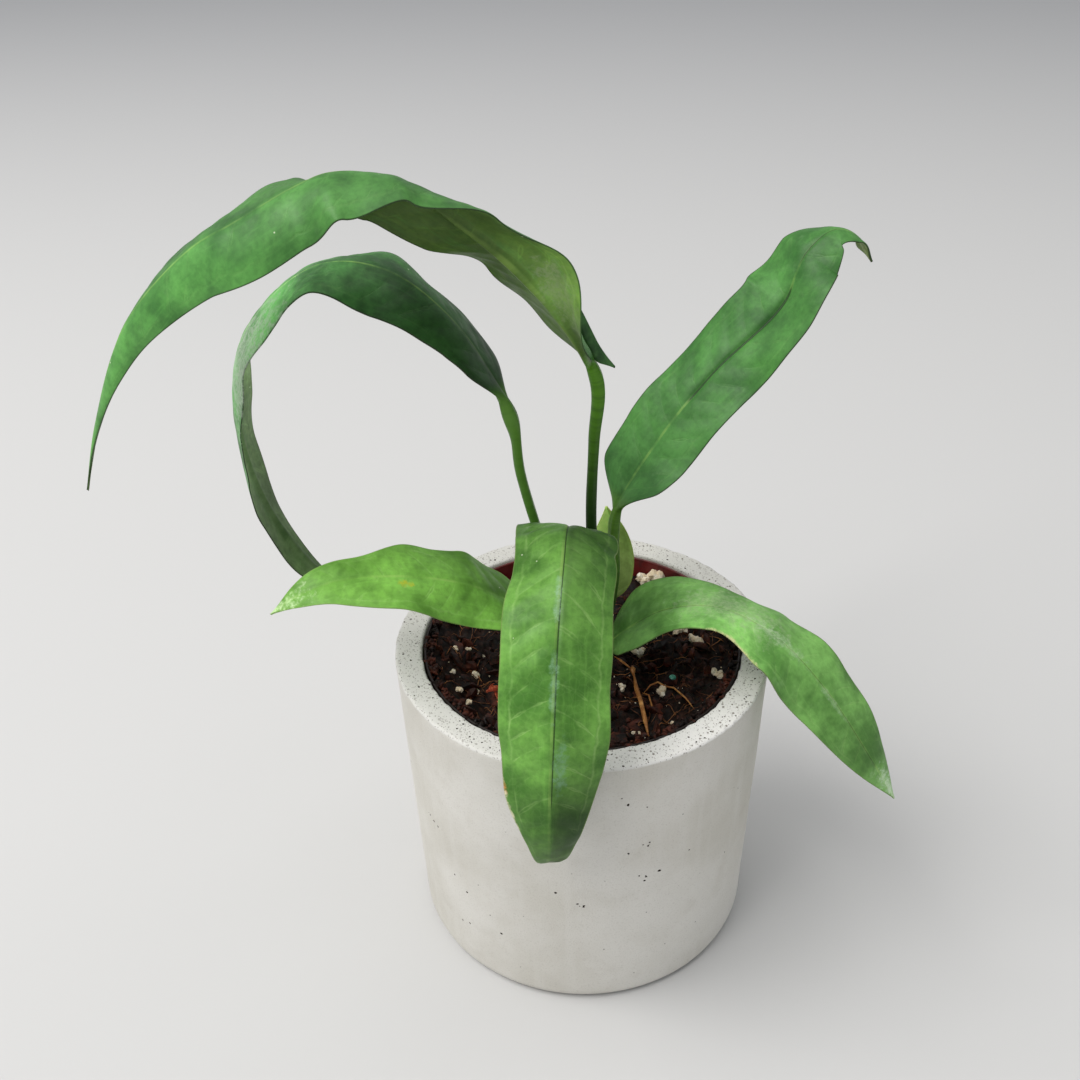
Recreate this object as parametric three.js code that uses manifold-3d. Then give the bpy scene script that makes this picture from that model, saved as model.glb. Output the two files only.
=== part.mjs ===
// A strap-leaved anthurium growing in a nursery pot, inside a cast concrete cover pot.
// Millimetres, +Z up. The origin is the centre of the cover pot's underside, and -Y is the front.
import * as THREE from 'three';
import { mergeVertices } from 'three/addons/utils/BufferGeometryUtils.js';
import Module from 'manifold-3d';

const wasm = await Module();
wasm.setup();

// Clearance between pieces that touch
const GAP = 0.3;

// Driving dimensions of the two pots
const COVER = {
  height: 135, rimRadius: 75, baseRadius: 71, baseRound: 5, lipRound: 1.2,
  wall: 10.7, cavityFoot: 59, floor: 13, segments: 56, baseSteps: 3, lipSteps: 2, color: 0xc4c0b8,
};
const GROW = {
  top: 134, rimRadius: 63.6, rollDepth: 4.5, rollOut: 0.5, footRadius: 46,
  wall: 1, floor: 1.6, segments: 48, drainHoles: 6, drainRadius: 4, drainRing: 33,
  drainSegments: 12, color: 0x4a1416,
};

// The potting mix: a bumpy surface, with small bits sunk in it
const MIX = {
  surface: 125, edgeRise: 5.2, backRise: 1.2, back: [22, 50], rings: 13, segments: 44,
  wallClear: 0.5, color: 0x2a1c14,
};
const MIX_WAVES = [
  { height: 1.4, x: 0.19, y: 0.05, shift: 1.3 },
  { height: 1.1, x: -0.08, y: 0.22, shift: 4.1 },
  { height: 0.8, x: 0.41, y: -0.35, shift: 2.1 },
  { height: 0.5, x: 0.69, y: 0.62, shift: 0 },
];

// Perlite at set places as [x, y, size]. More of it, and bark, is scattered
const PERLITE = [
  [23, 4, 5], [47, 9, 6], [42, 19, 5], [32, -21, 4.5], [16, -18, 3], [21, -47, 3.2], [54, -14, 4],
  [25, 50, 5], [31, 48, 5], [-52, 5, 3], [-42, -10, 3.4], [-48, -23, 3], [-44, -31, 3],
];
const PERLITE_RADII = [0.55, 0.45, 0.42];
const SCATTER = {
  seed: 7, perlite: 12, perliteSize: [2.4, 4.2], bark: 26, barkSize: [[4, 9], [2.5, 5], [1.8, 3]],
  innerRadius: 15, outerRadius: 52, sink: 0.2, tilt: 0.6,
};

// Stalk bits and root fibres lie on the mix as [x, y, height above it]
const STRANDS = [
  { radius: 1.1, sides: 6, steps: 8, path: [[20, -8, -2], [22, -16, 1.6], [24, -30, 1.2], [25, -51, -2]] },
  { radius: 0.55, sides: 5, steps: 7, path: [[13, 4, -2], [16, -1, 1.4], [20, -7, 1], [27, -12, -2]] },
  { radius: 0.5, sides: 5, steps: 7, path: [[24, -21, -2], [30, -18, 1], [36, -22, 1.3], [43, -36, -2]] },
  { radius: 0.5, sides: 5, steps: 7, path: [[-30, -36, -2], [-36, -30, 1.2], [-44, -24, 1], [-50, -12, -2]] },
  { radius: 0.55, sides: 5, steps: 7, path: [[-16, 36, -2], [-24, 33, 1.2], [-36, 34, 1.1], [-43, 26, -2]] },
];

// The crown is the short stem that the petioles grow from, seated in a hole in the mix
const CROWN = { x: 2.5, y: 7.5, segments: 24, color: 0x5d6b34 };
const CROWN_OUTLINE = [[0, 95], [5, 95], [8.4, 111], [10.6, 123], [10.2, 128], [6, 131], [0, 131.6]];
const SOCKET = { depth: 16, segments: 14 };

// Blade section: points across it as shares of the half width, from the near margin to the far one
const SECTION = [1, 0.62, 0.22, 0, -0.22, -0.62, -1];
const BLADE = {
  thickness: 0.8, keel: 1.3, keelWidth: 1.8, groove: 0.3, fullKeelWidth: 9, tipHalfWidth: 0.9,
  joinBefore: 6, joinAfter: 16, stemTurn: 80, stemTaper: 0.12,
  divisions: 600,
};

// Each leaf's route runs up the petiole and along the midrib, as rows of
// [x, y, z, rise of the near half, rise of the far half]. A rise is the half's angle in degrees from
// across, which points from the midrib to the near margin, towards the leaf's upper side.
// Trims widen or narrow a half, as [share along the blade, half, change in mm, spread as a share],
// where half 0 is the near one.
const LEAVES = {
  leaf_tall: {
    across: [0, -1, 0], stem: 2.4, petiole: 136, width: 43, base: 0.1, baseRound: 2,
    taper: 0.5, taperBend: 1.5, taperPoint: 1.5, curl: [-50, -15],
    wave: { height: 1, length: 41, shift: [0.4, 2.6] }, steps: [9, 36], color: 0x3e7a38,
    trims: [[0.09, 0, -3.5, 0.05], [0.21, 1, -3, 0.05]],
    route: [
      [3, 7.5, 122, 80, -80], [5.5, 6, 151, 80, -70], [4, 5, 191, 70, -60], [5, 4, 225, 50, -50],
      [6, 2, 250, 22, -40], [-3, -1, 271, 18, -34], [-20, -7, 296, 60, -36], [-37, -13, 314.5, 38, -64],
      [-57, -20, 332, 10, -70], [-75, -28, 337, -26, -50], [-88, -31, 332.5, -44, -6],
      [-106, -33, 323, -54, 0], [-121.5, -32, 314, -55, -3], [-147, -30, 288, -57, 0],
      [-165, -28, 251, -42, -10], [-174, -27, 224, -36, -26],
    ],
  },
  leaf_arching: {
    across: [0, -1, 0], stem: 2.1, petiole: 130, width: 38, base: 0.08, baseRound: 2,
    taper: 0.5, taperBend: 1.6, taperPoint: 1.2, curl: [-12, -12],
    wave: { height: 0.9, length: 37, shift: [1.8, 0.2] }, steps: [8, 32], color: 0x376f33,
    trims: [[0.17, 1, 2, 0.04]],
    route: [
      [-3.6, 9.5, 122, -20, -20], [-12, 6, 164, -17, -11], [-22, -1, 213, -8, 5], [-24.8, -8, 242, -5, 18],
      [-40, -1, 271, -10, -10], [-64, 1, 293, -37, -9], [-89, 3, 295, -7, -18], [-119, 5, 268, -19, -6],
      [-127.5, 6, 234, -22, -8], [-121, 6, 194, -5, -2], [-105, 7, 164, 33, 6], [-80, 8, 145, 33, 8],
    ],
  },
  leaf_upright: {
    across: [-0.35, 0.75, 0.5], stem: 2.4, petiole: 65, width: 37, base: 0.13, baseRound: 2,
    taper: 0.62, taperBend: 2, taperPoint: 1.1, curl: [-10, -10],
    wave: { height: 0.7, length: 39, shift: [3.1, 1.2] }, steps: [5, 22], color: 0x3f8240,
    trims: [[0.95, 0, 2.5, 0.03], [0.69, 0, 2, 0.04], [0.8, 0, -1, 0.03]],
    route: [
      [7.6, 11.6, 122, 0, 0], [13, 12.5, 156, -7, 25], [14, 17, 186, -10, 36], [29, 26, 211, -4, 6],
      [50, 34, 237, -12, -1], [75, 40, 262, 2, 16], [83, 46, 280, -20, -9], [94, 50, 287.5, -51, 8],
      [103, 49, 284, -29, 13], [108, 46, 276, -3, 7],
    ],
  },
  leaf_front: {
    across: [1, 0, 0], stem: 2.3, petiole: 45, width: 40, base: 0.13, baseRound: 2,
    taper: 0.6, taperBend: 2.2, taperPoint: 1, curl: [-15, -15],
    wave: { height: 0.8, length: 36, shift: [0.9, 3.4] }, steps: [4, 26], color: 0x4c9440,
    trims: [
      [0.13, 0, -9, 0.06], [0.24, 0, 0.5, 0.03], [0.3, 0, -1, 0.03], [0.83, 0, -1.5, 0.06],
      [0.29, 1, -1.2, 0.06], [0.9, 1, -2, 0.08],
    ],
    route: [
      [1.4, 1, 122, 10, 10], [1, 0, 150, 9, 14], [-1, -5, 180, 4, 16], [-3.2, -14, 198, -12, 8],
      [-4.7, -29, 209, -27, -14], [-6, -50, 207, -24, -20], [-7.8, -72, 192, -23, -8],
      [-9.2, -88, 167, -18, -15], [-10.5, -96, 139, -20, -20], [-11, -96, 117, -24, -14],
      [-12, -89, 103, -6, 2], [-13, -80, 99, 0, 0],
    ],
  },
  leaf_left: {
    across: [0, -1, 0], stem: 2.1, petiole: 31, width: 32, base: 0.2, baseRound: 2,
    taper: 0.5, taperBend: 1.7, taperPoint: 1.1, curl: [-10, -10],
    wave: { height: 0.7, length: 33, shift: [2.2, 0.7] }, steps: [3, 17], color: 0x58a03c,
    trims: [[0.68, 1, -3.5, 0.1]],
    route: [
      [-3.8, 4.4, 122, 0, 0], [-9.5, 1.5, 138, 7, -2], [-20, -3, 152, 9, -5], [-31, -10, 164, -5, -3],
      [-44, -19, 177, -35, 4], [-67, -28, 187, -13, 13], [-89, -34, 189, -26, 28],
      [-103, -38, 185, -30, 32], [-113, -39, 178, -20, 30],
    ],
  },
  leaf_right: {
    across: [0, 1, 0], stem: 2.1, petiole: 9, width: 37, base: 0.16, baseRound: 1.8,
    taper: 0.45, taperBend: 1.5, taperPoint: 1, curl: [-12, -12],
    wave: { height: 0.8, length: 35, shift: [1.1, 2.9] }, steps: [2, 24], color: 0x47903f,
    trims: [
      [0.08, 1, -3, 0.06], [0.24, 1, -4.2, 0.1], [0.4, 1, -3, 0.07], [0.75, 1, 1.2, 0.15],
      [0.08, 0, -2, 0.05], [0.4, 0, -2, 0.06], [0.8, 0, 2.5, 0.14],
    ],
    route: [
      [7.9, 3.4, 122, 0, 0], [10.5, 0, 131, 14, -4], [17, -4.5, 143, 12, -2], [32, -9, 157, 0, 4],
      [53, -17, 164, -18, 2], [74, -26, 156.5, 4, -26], [93, -35, 137.5, 30, -58], [112, -40, 107.5, 38, -54],
      [125, -36, 82, 36, -38],
    ],
  },
  leaf_young: {
    across: [-1, 0, 0], stem: 1.6, petiole: 18, width: 16, base: 0.3, baseRound: 1.6,
    taper: 0.5, taperBend: 1.6, taperPoint: 1.1, curl: [14, 14],
    wave: { height: 0.4, length: 24, shift: [0, 1.5] }, steps: [3, 10], color: 0x8fb04a,
    trims: [[0.78, 0, 3, 0.14], [0.12, 1, 2.5, 0.12]],
    route: [
      [3, 14.2, 122, 20, 20], [8, 18.5, 132, 20, 20], [12, 22, 146, 20, 25], [14, 24, 160, 16, 28],
      [13, 24.5, 172, 12, 24], [10, 23.5, 183, 8, 20],
    ],
  },
};

// Deletes what the shape doesn't need, joins equal vertices and drops triangles with no area
function closed(geometry) {
  geometry.deleteAttribute('normal');
  geometry.deleteAttribute('uv');
  const merged = mergeVertices(geometry, 1e-4);
  const kept = [];
  for (let i = 0; i < merged.index.count; i += 3) {
    const corners = [0, 1, 2].map((k) => merged.index.getX(i + k));
    if (new Set(corners).size === 3) kept.push(...corners);
  }
  merged.setIndex(kept);
  return merged;
}

function solidOf(geometry) {
  const shape = closed(geometry);
  return new wasm.Manifold(new wasm.Mesh({
    numProp: 3,
    vertProperties: new Float32Array(shape.attributes.position.array),
    triVerts: new Uint32Array(shape.index.array),
  }));
}

function geometryOf(solid) {
  const mesh = solid.getMesh();
  const geometry = new THREE.BufferGeometry();
  geometry.setAttribute('position', new THREE.BufferAttribute(new Float32Array(mesh.vertProperties), 3));
  geometry.setIndex([...mesh.triVerts]);
  return geometry;
}

function meshOf(name, geometry, color, roughness) {
  const material = new THREE.MeshStandardMaterial({ color, roughness, metalness: 0 });
  const mesh = new THREE.Mesh(geometry, material);
  mesh.name = name;
  return mesh;
}

// Points of a quarter round from one angle to another, in degrees, about a centre
function roundPoints(radius, x, z, from, to, steps) {
  return Array.from({ length: steps + 1 }, (_, i) => {
    const angle = THREE.MathUtils.degToRad(from + ((to - from) * i) / steps);
    return [x + radius * Math.cos(angle), z + radius * Math.sin(angle)];
  });
}

// Turns an outline of [radius, height], from the axis up the outside and back to the axis, about Z
function turned(outline, segments) {
  const points = outline.map(([radius, height]) => new THREE.Vector2(radius, height));
  return new THREE.LatheGeometry(points, segments).rotateX(Math.PI / 2);
}

function coverPot() {
  const { height, rimRadius, baseRadius, baseRound, baseSteps, lipRound, lipSteps, wall } = COVER;
  const mouth = rimRadius - wall;
  return turned([
    [0, 0],
    ...roundPoints(baseRound, baseRadius - baseRound, baseRound, -90, 0, baseSteps),
    ...roundPoints(lipRound, rimRadius - lipRound, height - lipRound, 0, 90, lipSteps),
    ...roundPoints(lipRound, mouth + lipRound, height - lipRound, 90, 180, lipSteps),
    [COVER.cavityFoot, COVER.floor],
    [0, COVER.floor],
  ], COVER.segments);
}

const growFloor = COVER.floor + GAP;

// Inner radius of the nursery pot at a height
function growInnerRadius(z) {
  const low = growFloor + GROW.floor;
  const share = (z - low) / (GROW.top - low);
  const mouth = GROW.rimRadius - GROW.rollOut - GROW.wall;
  return THREE.MathUtils.lerp(GROW.footRadius - GROW.wall, mouth, share);
}

function growPot() {
  const { top, rimRadius, rollDepth, rollOut, footRadius, wall, floor } = GROW;
  const shell = solidOf(turned([
    [0, growFloor],
    [footRadius, growFloor],
    [growInnerRadius(top - rollDepth) + wall, top - rollDepth],
    [rimRadius, top - rollDepth + rollOut],
    [rimRadius, top - wall / 2],
    [rimRadius - wall / 2, top],
    [growInnerRadius(top), top],
    [growInnerRadius(growFloor + floor), growFloor + floor],
    [0, growFloor + floor],
  ], GROW.segments));
  let pot = shell;
  for (let i = 0; i < GROW.drainHoles; i += 1) {
    const angle = (2 * Math.PI * i) / GROW.drainHoles;
    const { drainRadius, drainSegments } = GROW;
    const hole = new THREE.CylinderGeometry(drainRadius, drainRadius, floor * 3, drainSegments)
      .rotateX(Math.PI / 2)
      .translate(GROW.drainRing * Math.cos(angle), GROW.drainRing * Math.sin(angle), growFloor + floor / 2);
    pot = pot.subtract(solidOf(hole));
  }
  return geometryOf(pot);
}

// Height of the mix at a place. It is heaped up along the wall, except at the back
function mixHeight(x, y) {
  const share = Math.hypot(x, y) / growInnerRadius(MIX.surface);
  const bumps = MIX_WAVES.reduce((sum, w) => sum + w.height * Math.sin(w.x * x + w.y * y + w.shift), 0);
  const rise = THREE.MathUtils.lerp(MIX.edgeRise, MIX.backRise, THREE.MathUtils.smoothstep(y, ...MIX.back));
  return MIX.surface + bumps * (1 - share ** 6) + rise * share ** 6;
}

// The bumpy surface in rings, with a plain side and bottom
function mixBed() {
  const { rings, segments, surface, wallClear } = MIX;
  const low = growFloor + GROW.floor + GAP;
  const positions = [0, 0, low, 0, 0, mixHeight(0, 0)];
  const addRing = (radius, heightAt) => {
    for (let i = 0; i < segments; i += 1) {
      const angle = (2 * Math.PI * i) / segments;
      const x = radius * Math.cos(angle);
      const y = radius * Math.sin(angle);
      positions.push(x, y, heightAt(x, y));
    }
  };
  const edge = growInnerRadius(surface) - wallClear;
  for (let ring = 1; ring <= rings; ring += 1) addRing((edge * ring) / rings, mixHeight);
  addRing(growInnerRadius(low) - wallClear, () => low);
  const indices = [];
  const at = (ring, i) => 2 + (ring - 1) * segments + (i % segments);
  for (let i = 0; i < segments; i += 1) {
    indices.push(1, at(1, i), at(1, i + 1));
    for (let ring = 1; ring <= rings; ring += 1) {
      indices.push(at(ring, i), at(ring + 1, i), at(ring + 1, i + 1));
      indices.push(at(ring, i), at(ring + 1, i + 1), at(ring, i + 1));
    }
    indices.push(0, at(rings + 1, i + 1), at(rings + 1, i));
  }
  const geometry = new THREE.BufferGeometry();
  geometry.setAttribute('position', new THREE.Float32BufferAttribute(positions, 3));
  geometry.setIndex(indices);
  return solidOf(geometry);
}

// A seeded draw of numbers from 0 to 1
function seeded(seed) {
  let state = seed;
  return () => {
    state = (state + 0x6d2b79f5) | 0;
    let mixed = Math.imul(state ^ (state >>> 15), 1 | state);
    mixed = (mixed + Math.imul(mixed ^ (mixed >>> 7), 61 | mixed)) ^ mixed;
    return ((mixed ^ (mixed >>> 14)) >>> 0) / 4294967296;
  };
}

// One bit of perlite or bark, turned at random and sunk in the mix
function bit(shape, size, x, y, draw) {
  const geometry = shape
    .scale(...size)
    .rotateX(SCATTER.tilt * (draw() - 0.5))
    .rotateY(SCATTER.tilt * (draw() - 0.5))
    .rotateZ(2 * Math.PI * draw())
    .translate(x, y, mixHeight(x, y) + SCATTER.sink * size[2]);
  return solidOf(geometry);
}

function mixBits() {
  const draw = seeded(SCATTER.seed);
  const between = ([low, high]) => low + (high - low) * draw();
  const somewhere = () => {
    const angle = 2 * Math.PI * draw();
    const spread = SCATTER.outerRadius - SCATTER.innerRadius;
    const radius = SCATTER.innerRadius + spread * Math.sqrt(draw());
    return [radius * Math.cos(angle), radius * Math.sin(angle)];
  };
  const perlite = [...PERLITE];
  for (let i = 0; i < SCATTER.perlite; i += 1) {
    perlite.push([...somewhere(), between(SCATTER.perliteSize)]);
  }
  const bits = perlite.map(([x, y, size]) => {
    const radii = PERLITE_RADII.map((share) => share * size);
    return bit(new THREE.IcosahedronGeometry(1, 0), radii, x, y, draw);
  });
  for (let i = 0; i < SCATTER.bark; i += 1) {
    const size = SCATTER.barkSize.map(between);
    bits.push(bit(new THREE.BoxGeometry(1, 1, 1), size, ...somewhere(), draw));
  }
  return bits;
}

// A strand of even thickness that lies on the mix
function strand({ radius, sides, steps, path }) {
  const points = path.map(([x, y, above]) => new THREE.Vector3(x, y, mixHeight(x, y) + above * radius));
  const outline = new THREE.Shape(Array.from({ length: sides }, (_, i) => {
    const angle = (2 * Math.PI * i) / sides;
    return new THREE.Vector2(radius * Math.cos(angle), radius * Math.sin(angle));
  }));
  const extrudePath = new THREE.CatmullRomCurve3(points);
  return solidOf(new THREE.ExtrudeGeometry(outline, { steps, extrudePath }));
}

function crownOutline(spare) {
  return CROWN_OUTLINE.map(([radius, z], i) => [
    radius + (radius > 0 ? spare : 0),
    i < 2 ? z - spare : z + spare,
  ]);
}

function pottingMix() {
  let mix = mixBed();
  for (const piece of [...mixBits(), ...STRANDS.map(strand)]) mix = mix.add(piece);
  const hole = turned(crownOutline(GAP), CROWN.segments).translate(CROWN.x, CROWN.y, 0);
  return geometryOf(mix.subtract(solidOf(hole)));
}

// The crown has a plain socket for each petiole
function crown() {
  let body = solidOf(turned(crownOutline(0), CROWN.segments).translate(CROWN.x, CROWN.y, 0));
  for (const leaf of Object.values(LEAVES)) {
    const [first, second] = leaf.route.map(([x, y, z]) => new THREE.Vector3(x, y, z));
    const way = second.clone().sub(first).normalize();
    const radius = (leaf.stem + GAP) / Math.cos(Math.PI / SOCKET.segments);
    const socket = new THREE.CylinderGeometry(radius, radius, SOCKET.depth, SOCKET.segments)
      .applyQuaternion(new THREE.Quaternion().setFromUnitVectors(new THREE.Vector3(0, 1, 0), way))
      .translate(...first.addScaledVector(way, SOCKET.depth / 2 - 2 * GAP));
    body = body.subtract(solidOf(socket));
  }
  return geometryOf(body);
}

// Half width of a blade, as a share of its widest, from its base at 0 to its tip at 1
function widthShare(leaf, x) {
  const fromBase = THREE.MathUtils.clamp(x / leaf.base, 0, 1);
  const base = (1 - (1 - fromBase) ** leaf.baseRound) ** (1 / leaf.baseRound);
  const toTip = THREE.MathUtils.clamp((x - leaf.taper) / (1 - leaf.taper), 0, 1);
  return base * (1 - toTip ** leaf.taperBend) ** leaf.taperPoint;
}

// What a leaf does at a distance along its route: its place, its directions and its section's sizes
function station(leaf, spine, length, along) {
  const t = spine.getUtoTmapping(Math.min(along / length, 1));
  const spot = t * (leaf.route.length - 1);
  const row = Math.min(Math.floor(spot), leaf.route.length - 2);
  const ease = THREE.MathUtils.smoothstep(spot - row, 0, 1);
  const rises = [3, 4].map((column) => THREE.MathUtils.degToRad(
    THREE.MathUtils.lerp(leaf.route[row][column], leaf.route[row + 1][column], ease),
  ));
  const tangent = spine.getTangent(t);
  const across = new THREE.Vector3(...leaf.across);
  const side = across.addScaledVector(tangent, -across.dot(tangent)).normalize();
  const normal = new THREE.Vector3().crossVectors(tangent, side);
  const x = (along - leaf.petiole) / (length - leaf.petiole);
  const share = widthShare(leaf, x);
  const halfWidths = [0, 1].map((half) => {
    const trims = (leaf.trims ?? []).filter((trim) => trim[1] === half);
    const change = trims.reduce((sum, [middle, , by, spread]) => (
      sum + by * Math.exp(-(((x - middle) / spread) ** 2))
    ), 0);
    return Math.max((leaf.width / 2) * share + change, BLADE.tipHalfWidth);
  });
  return {
    along, side, normal, rises, share, halfWidths,
    place: spine.getPoint(t),
    stemRadius: leaf.stem * (1 - (BLADE.stemTaper * along) / leaf.petiole),
    bladeShare: THREE.MathUtils.smoothstep(
      along, leaf.petiole - BLADE.joinBefore, leaf.petiole + BLADE.joinAfter,
    ),
  };
}

// The blade's upper and lower points at a share of the half width
function bladePoints(leaf, at, share) {
  const half = share < 0 ? 1 : 0;
  const sign = share < 0 ? -1 : 1;
  const u = Math.abs(share);
  const halfWidth = at.halfWidths[half];
  const curl = THREE.MathUtils.degToRad(leaf.curl[half]);
  const start = at.rises[half] - curl / 2;
  const end = start + curl * u;
  const outward = (halfWidth * (Math.sin(end) - Math.sin(start))) / curl;
  const upward = (halfWidth * (Math.cos(start) - Math.cos(end))) / curl;
  const tilt = share === 0 ? (at.rises[0] - at.rises[1]) / 2 : sign * end;
  const up = at.normal.clone().multiplyScalar(Math.cos(tilt)).addScaledVector(at.side, -Math.sin(tilt));
  const swing = Math.sin((2 * Math.PI * at.along) / leaf.wave.length + leaf.wave.shift[half]);
  const wave = leaf.wave.height * u * u * swing * at.share;
  const ridge = Math.exp(-(((u * halfWidth) / BLADE.keelWidth) ** 2));
  const keel = BLADE.keel * Math.min(1, Math.min(...at.halfWidths) / BLADE.fullKeelWidth) * ridge;
  const upper = at.place.clone()
    .addScaledVector(at.side, sign * outward)
    .addScaledVector(at.normal, upward)
    .addScaledVector(up, wave - BLADE.groove * ridge * at.share);
  const lower = upper.clone().addScaledVector(up, -BLADE.thickness - keel);
  return [upper, lower];
}

// The petiole's upper and lower points for the same share
function stemPoints(at, index) {
  const middle = (SECTION.length - 1) / 2;
  const turn = THREE.MathUtils.degToRad((BLADE.stemTurn * (middle - index)) / middle);
  return [1, -1].map((sign) => at.place.clone()
    .addScaledVector(at.side, at.stemRadius * Math.sin(turn))
    .addScaledVector(at.normal, sign * at.stemRadius * Math.cos(turn)));
}

// Distances along a leaf where its sections stand
function stops(leaf, length) {
  const [stemSteps, bladeSteps] = leaf.steps;
  const stem = Array.from({ length: stemSteps }, (_, i) => (leaf.petiole * i) / stemSteps);
  const blade = Array.from({ length: bladeSteps + 1 }, (_, i) => (
    leaf.petiole + ((length - leaf.petiole) * i) / bladeSteps
  ));
  return [...stem, ...blade];
}

// A leaf is a loft of sections, split into triangles alike on its two faces
function leafBody(leaf) {
  const points = leaf.route.map(([x, y, z]) => new THREE.Vector3(x, y, z));
  const spine = new THREE.CatmullRomCurve3(points, false, 'centripetal');
  spine.arcLengthDivisions = BLADE.divisions;
  const length = spine.getLength();
  const positions = [];
  const sections = stops(leaf, length).map((along) => station(leaf, spine, length, along));
  for (const at of sections) {
    const pairs = SECTION.map((share, index) => {
      const blade = bladePoints(leaf, at, share);
      return stemPoints(at, index).map((point, face) => point.lerp(blade[face], at.bladeShare));
    });
    const ring = [...pairs.map(([upper]) => upper), ...pairs.map(([, lower]) => lower).reverse()];
    for (const point of ring) positions.push(...point);
  }
  const wide = SECTION.length;
  const round = wide * 2;
  const indices = [];
  for (let k = 0; k + 1 < sections.length; k += 1) {
    for (let j = 0; j < round; j += 1) {
      const a = k * round + j;
      const b = k * round + ((j + 1) % round);
      if (j < wide) indices.push(a, b, b + round, a, b + round, a + round);
      else indices.push(a, b, a + round, b, b + round, a + round);
    }
  }
  const last = (sections.length - 1) * round;
  for (let j = 0; j + 1 < wide; j += 1) {
    const below = round - 1 - j;
    indices.push(j, below, below - 1, j, below - 1, j + 1);
    indices.push(last + j, last + j + 1, last + below - 1, last + j, last + below - 1, last + below);
  }
  const geometry = new THREE.BufferGeometry();
  geometry.setAttribute('position', new THREE.Float32BufferAttribute(positions, 3));
  geometry.setIndex(indices);
  return geometry;
}

const group = new THREE.Group();
group.add(meshOf('cover_pot', closed(coverPot()), COVER.color, 0.9));
group.add(meshOf('grow_pot', growPot(), GROW.color, 0.5));
group.add(meshOf('potting_mix', pottingMix(), MIX.color, 0.95));
group.add(meshOf('crown', crown(), CROWN.color, 0.7));
for (const [name, leaf] of Object.entries(LEAVES)) {
  group.add(meshOf(name, leafBody(leaf), leaf.color, 0.45));
}

export default group;
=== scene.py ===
# A strap-leaved anthurium growing in a nursery pot, inside a cast concrete cover pot.
# Sizes in the tables are millimetres, and the origin is the centre of the cover pot's underside.
import math
from types import SimpleNamespace as Table

import bmesh
import bpy
import numpy as np
from mathutils import Matrix, Quaternion, Vector, noise


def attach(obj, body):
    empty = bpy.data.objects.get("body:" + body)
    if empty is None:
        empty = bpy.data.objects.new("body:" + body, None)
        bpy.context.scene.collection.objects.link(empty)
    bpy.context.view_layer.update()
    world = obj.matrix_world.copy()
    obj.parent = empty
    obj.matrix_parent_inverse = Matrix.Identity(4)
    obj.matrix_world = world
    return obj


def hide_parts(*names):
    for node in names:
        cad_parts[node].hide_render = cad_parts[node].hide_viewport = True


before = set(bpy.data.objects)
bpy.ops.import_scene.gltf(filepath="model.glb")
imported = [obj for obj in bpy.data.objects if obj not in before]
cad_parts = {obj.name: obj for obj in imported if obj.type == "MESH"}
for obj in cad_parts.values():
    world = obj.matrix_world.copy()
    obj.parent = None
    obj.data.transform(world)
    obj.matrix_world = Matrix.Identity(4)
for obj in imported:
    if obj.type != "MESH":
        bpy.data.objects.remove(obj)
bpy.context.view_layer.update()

MM = 0.001

# The camera of the photograph
CAMERA = Table(
    place=(0, -411, 464), yaw=-2.2, pitch=34.3, roll=-1.46, lens=43.33, sensor=36, clip_start=10,
)

# Driving dimensions of the two pots, as in the solids
COVER = Table(
    height=135, rim_radius=75, base_radius=71, base_round=5, lip_round=1.2, wall=10.7, cavity_foot=59,
    floor=13,
)
GROW = Table(
    foot=13.3, top=134, rim_radius=63.6, roll_depth=4.5, roll_out=0.5, foot_radius=46, wall=1, floor=1.6,
    drain_holes=6, drain_radius=4, drain_ring=33,
)
MIX = Table(surface=125, edge_rise=5.2, back_rise=1.2, back=(22, 50), wall_clear=0.5, low=15.2)
# Long swells of the surface, as height, turns along x and y, and shift
MIX_WAVES = [(1.4, 0.19, 0.05, 1.3), (1.1, -0.08, 0.22, 4.1), (0.8, 0.41, -0.35, 2.1), (0.5, 0.69, 0.62, 0)]
CROWN = Table(x=2.5, y=7.5)
CROWN_OUTLINE = [(0, 95), (5, 95), (8.4, 111), (10.6, 123), (10.2, 128), (6, 131), (0, 131.6)]

# Leaves, as in the solids. A place along a blade runs from 0 at its base to 1 at its tip, and a place
# across it from 1 at the near margin over 0 at the midrib to -1 at the far one. The rows hold:
# route: x, y, z and the rises of the near and far halves
# wave: height, length and the shifts of the near and far halves
# trims: place along, half (0 near, 1 far), change of the half width and reach
# creases: from, to and depth, of the fold and of the painted shade along it
# greens: two of the upper side and one of the underside
# tones of painted light and shade, partly the leaf's own: place along and the brightness of the near and far
# halves
# marks and painted sheens: place along and across, reach along and across, colour and strength
BLADE = Table(
    thickness=0.8, margin=0.4, keel=1.3, keel_width=1.8, groove=0.3, full_keel=9, thin_from=0.75, tip=0.15,
    join_before=6, join_after=16,
)
# What a leaf has where its own table says nothing else
USUAL = Table(
    across=(0, -1, 0), stem=2.1, base_round=2, taper=0.5, taper_point=1.1, curl=(-10, -10), knee=(0.3, 6),
    trims=[], creases=[], patches=[], margin=(50, 54, 38), stems=((44, 72, 28), (88, 130, 44)), rib=0.5,
    under_rib=((150, 168, 104), (0.5, 1.1)), rib_offset=None,
)


def leaf_table(**values):
    return Table(**{**vars(USUAL), **values})


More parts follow.
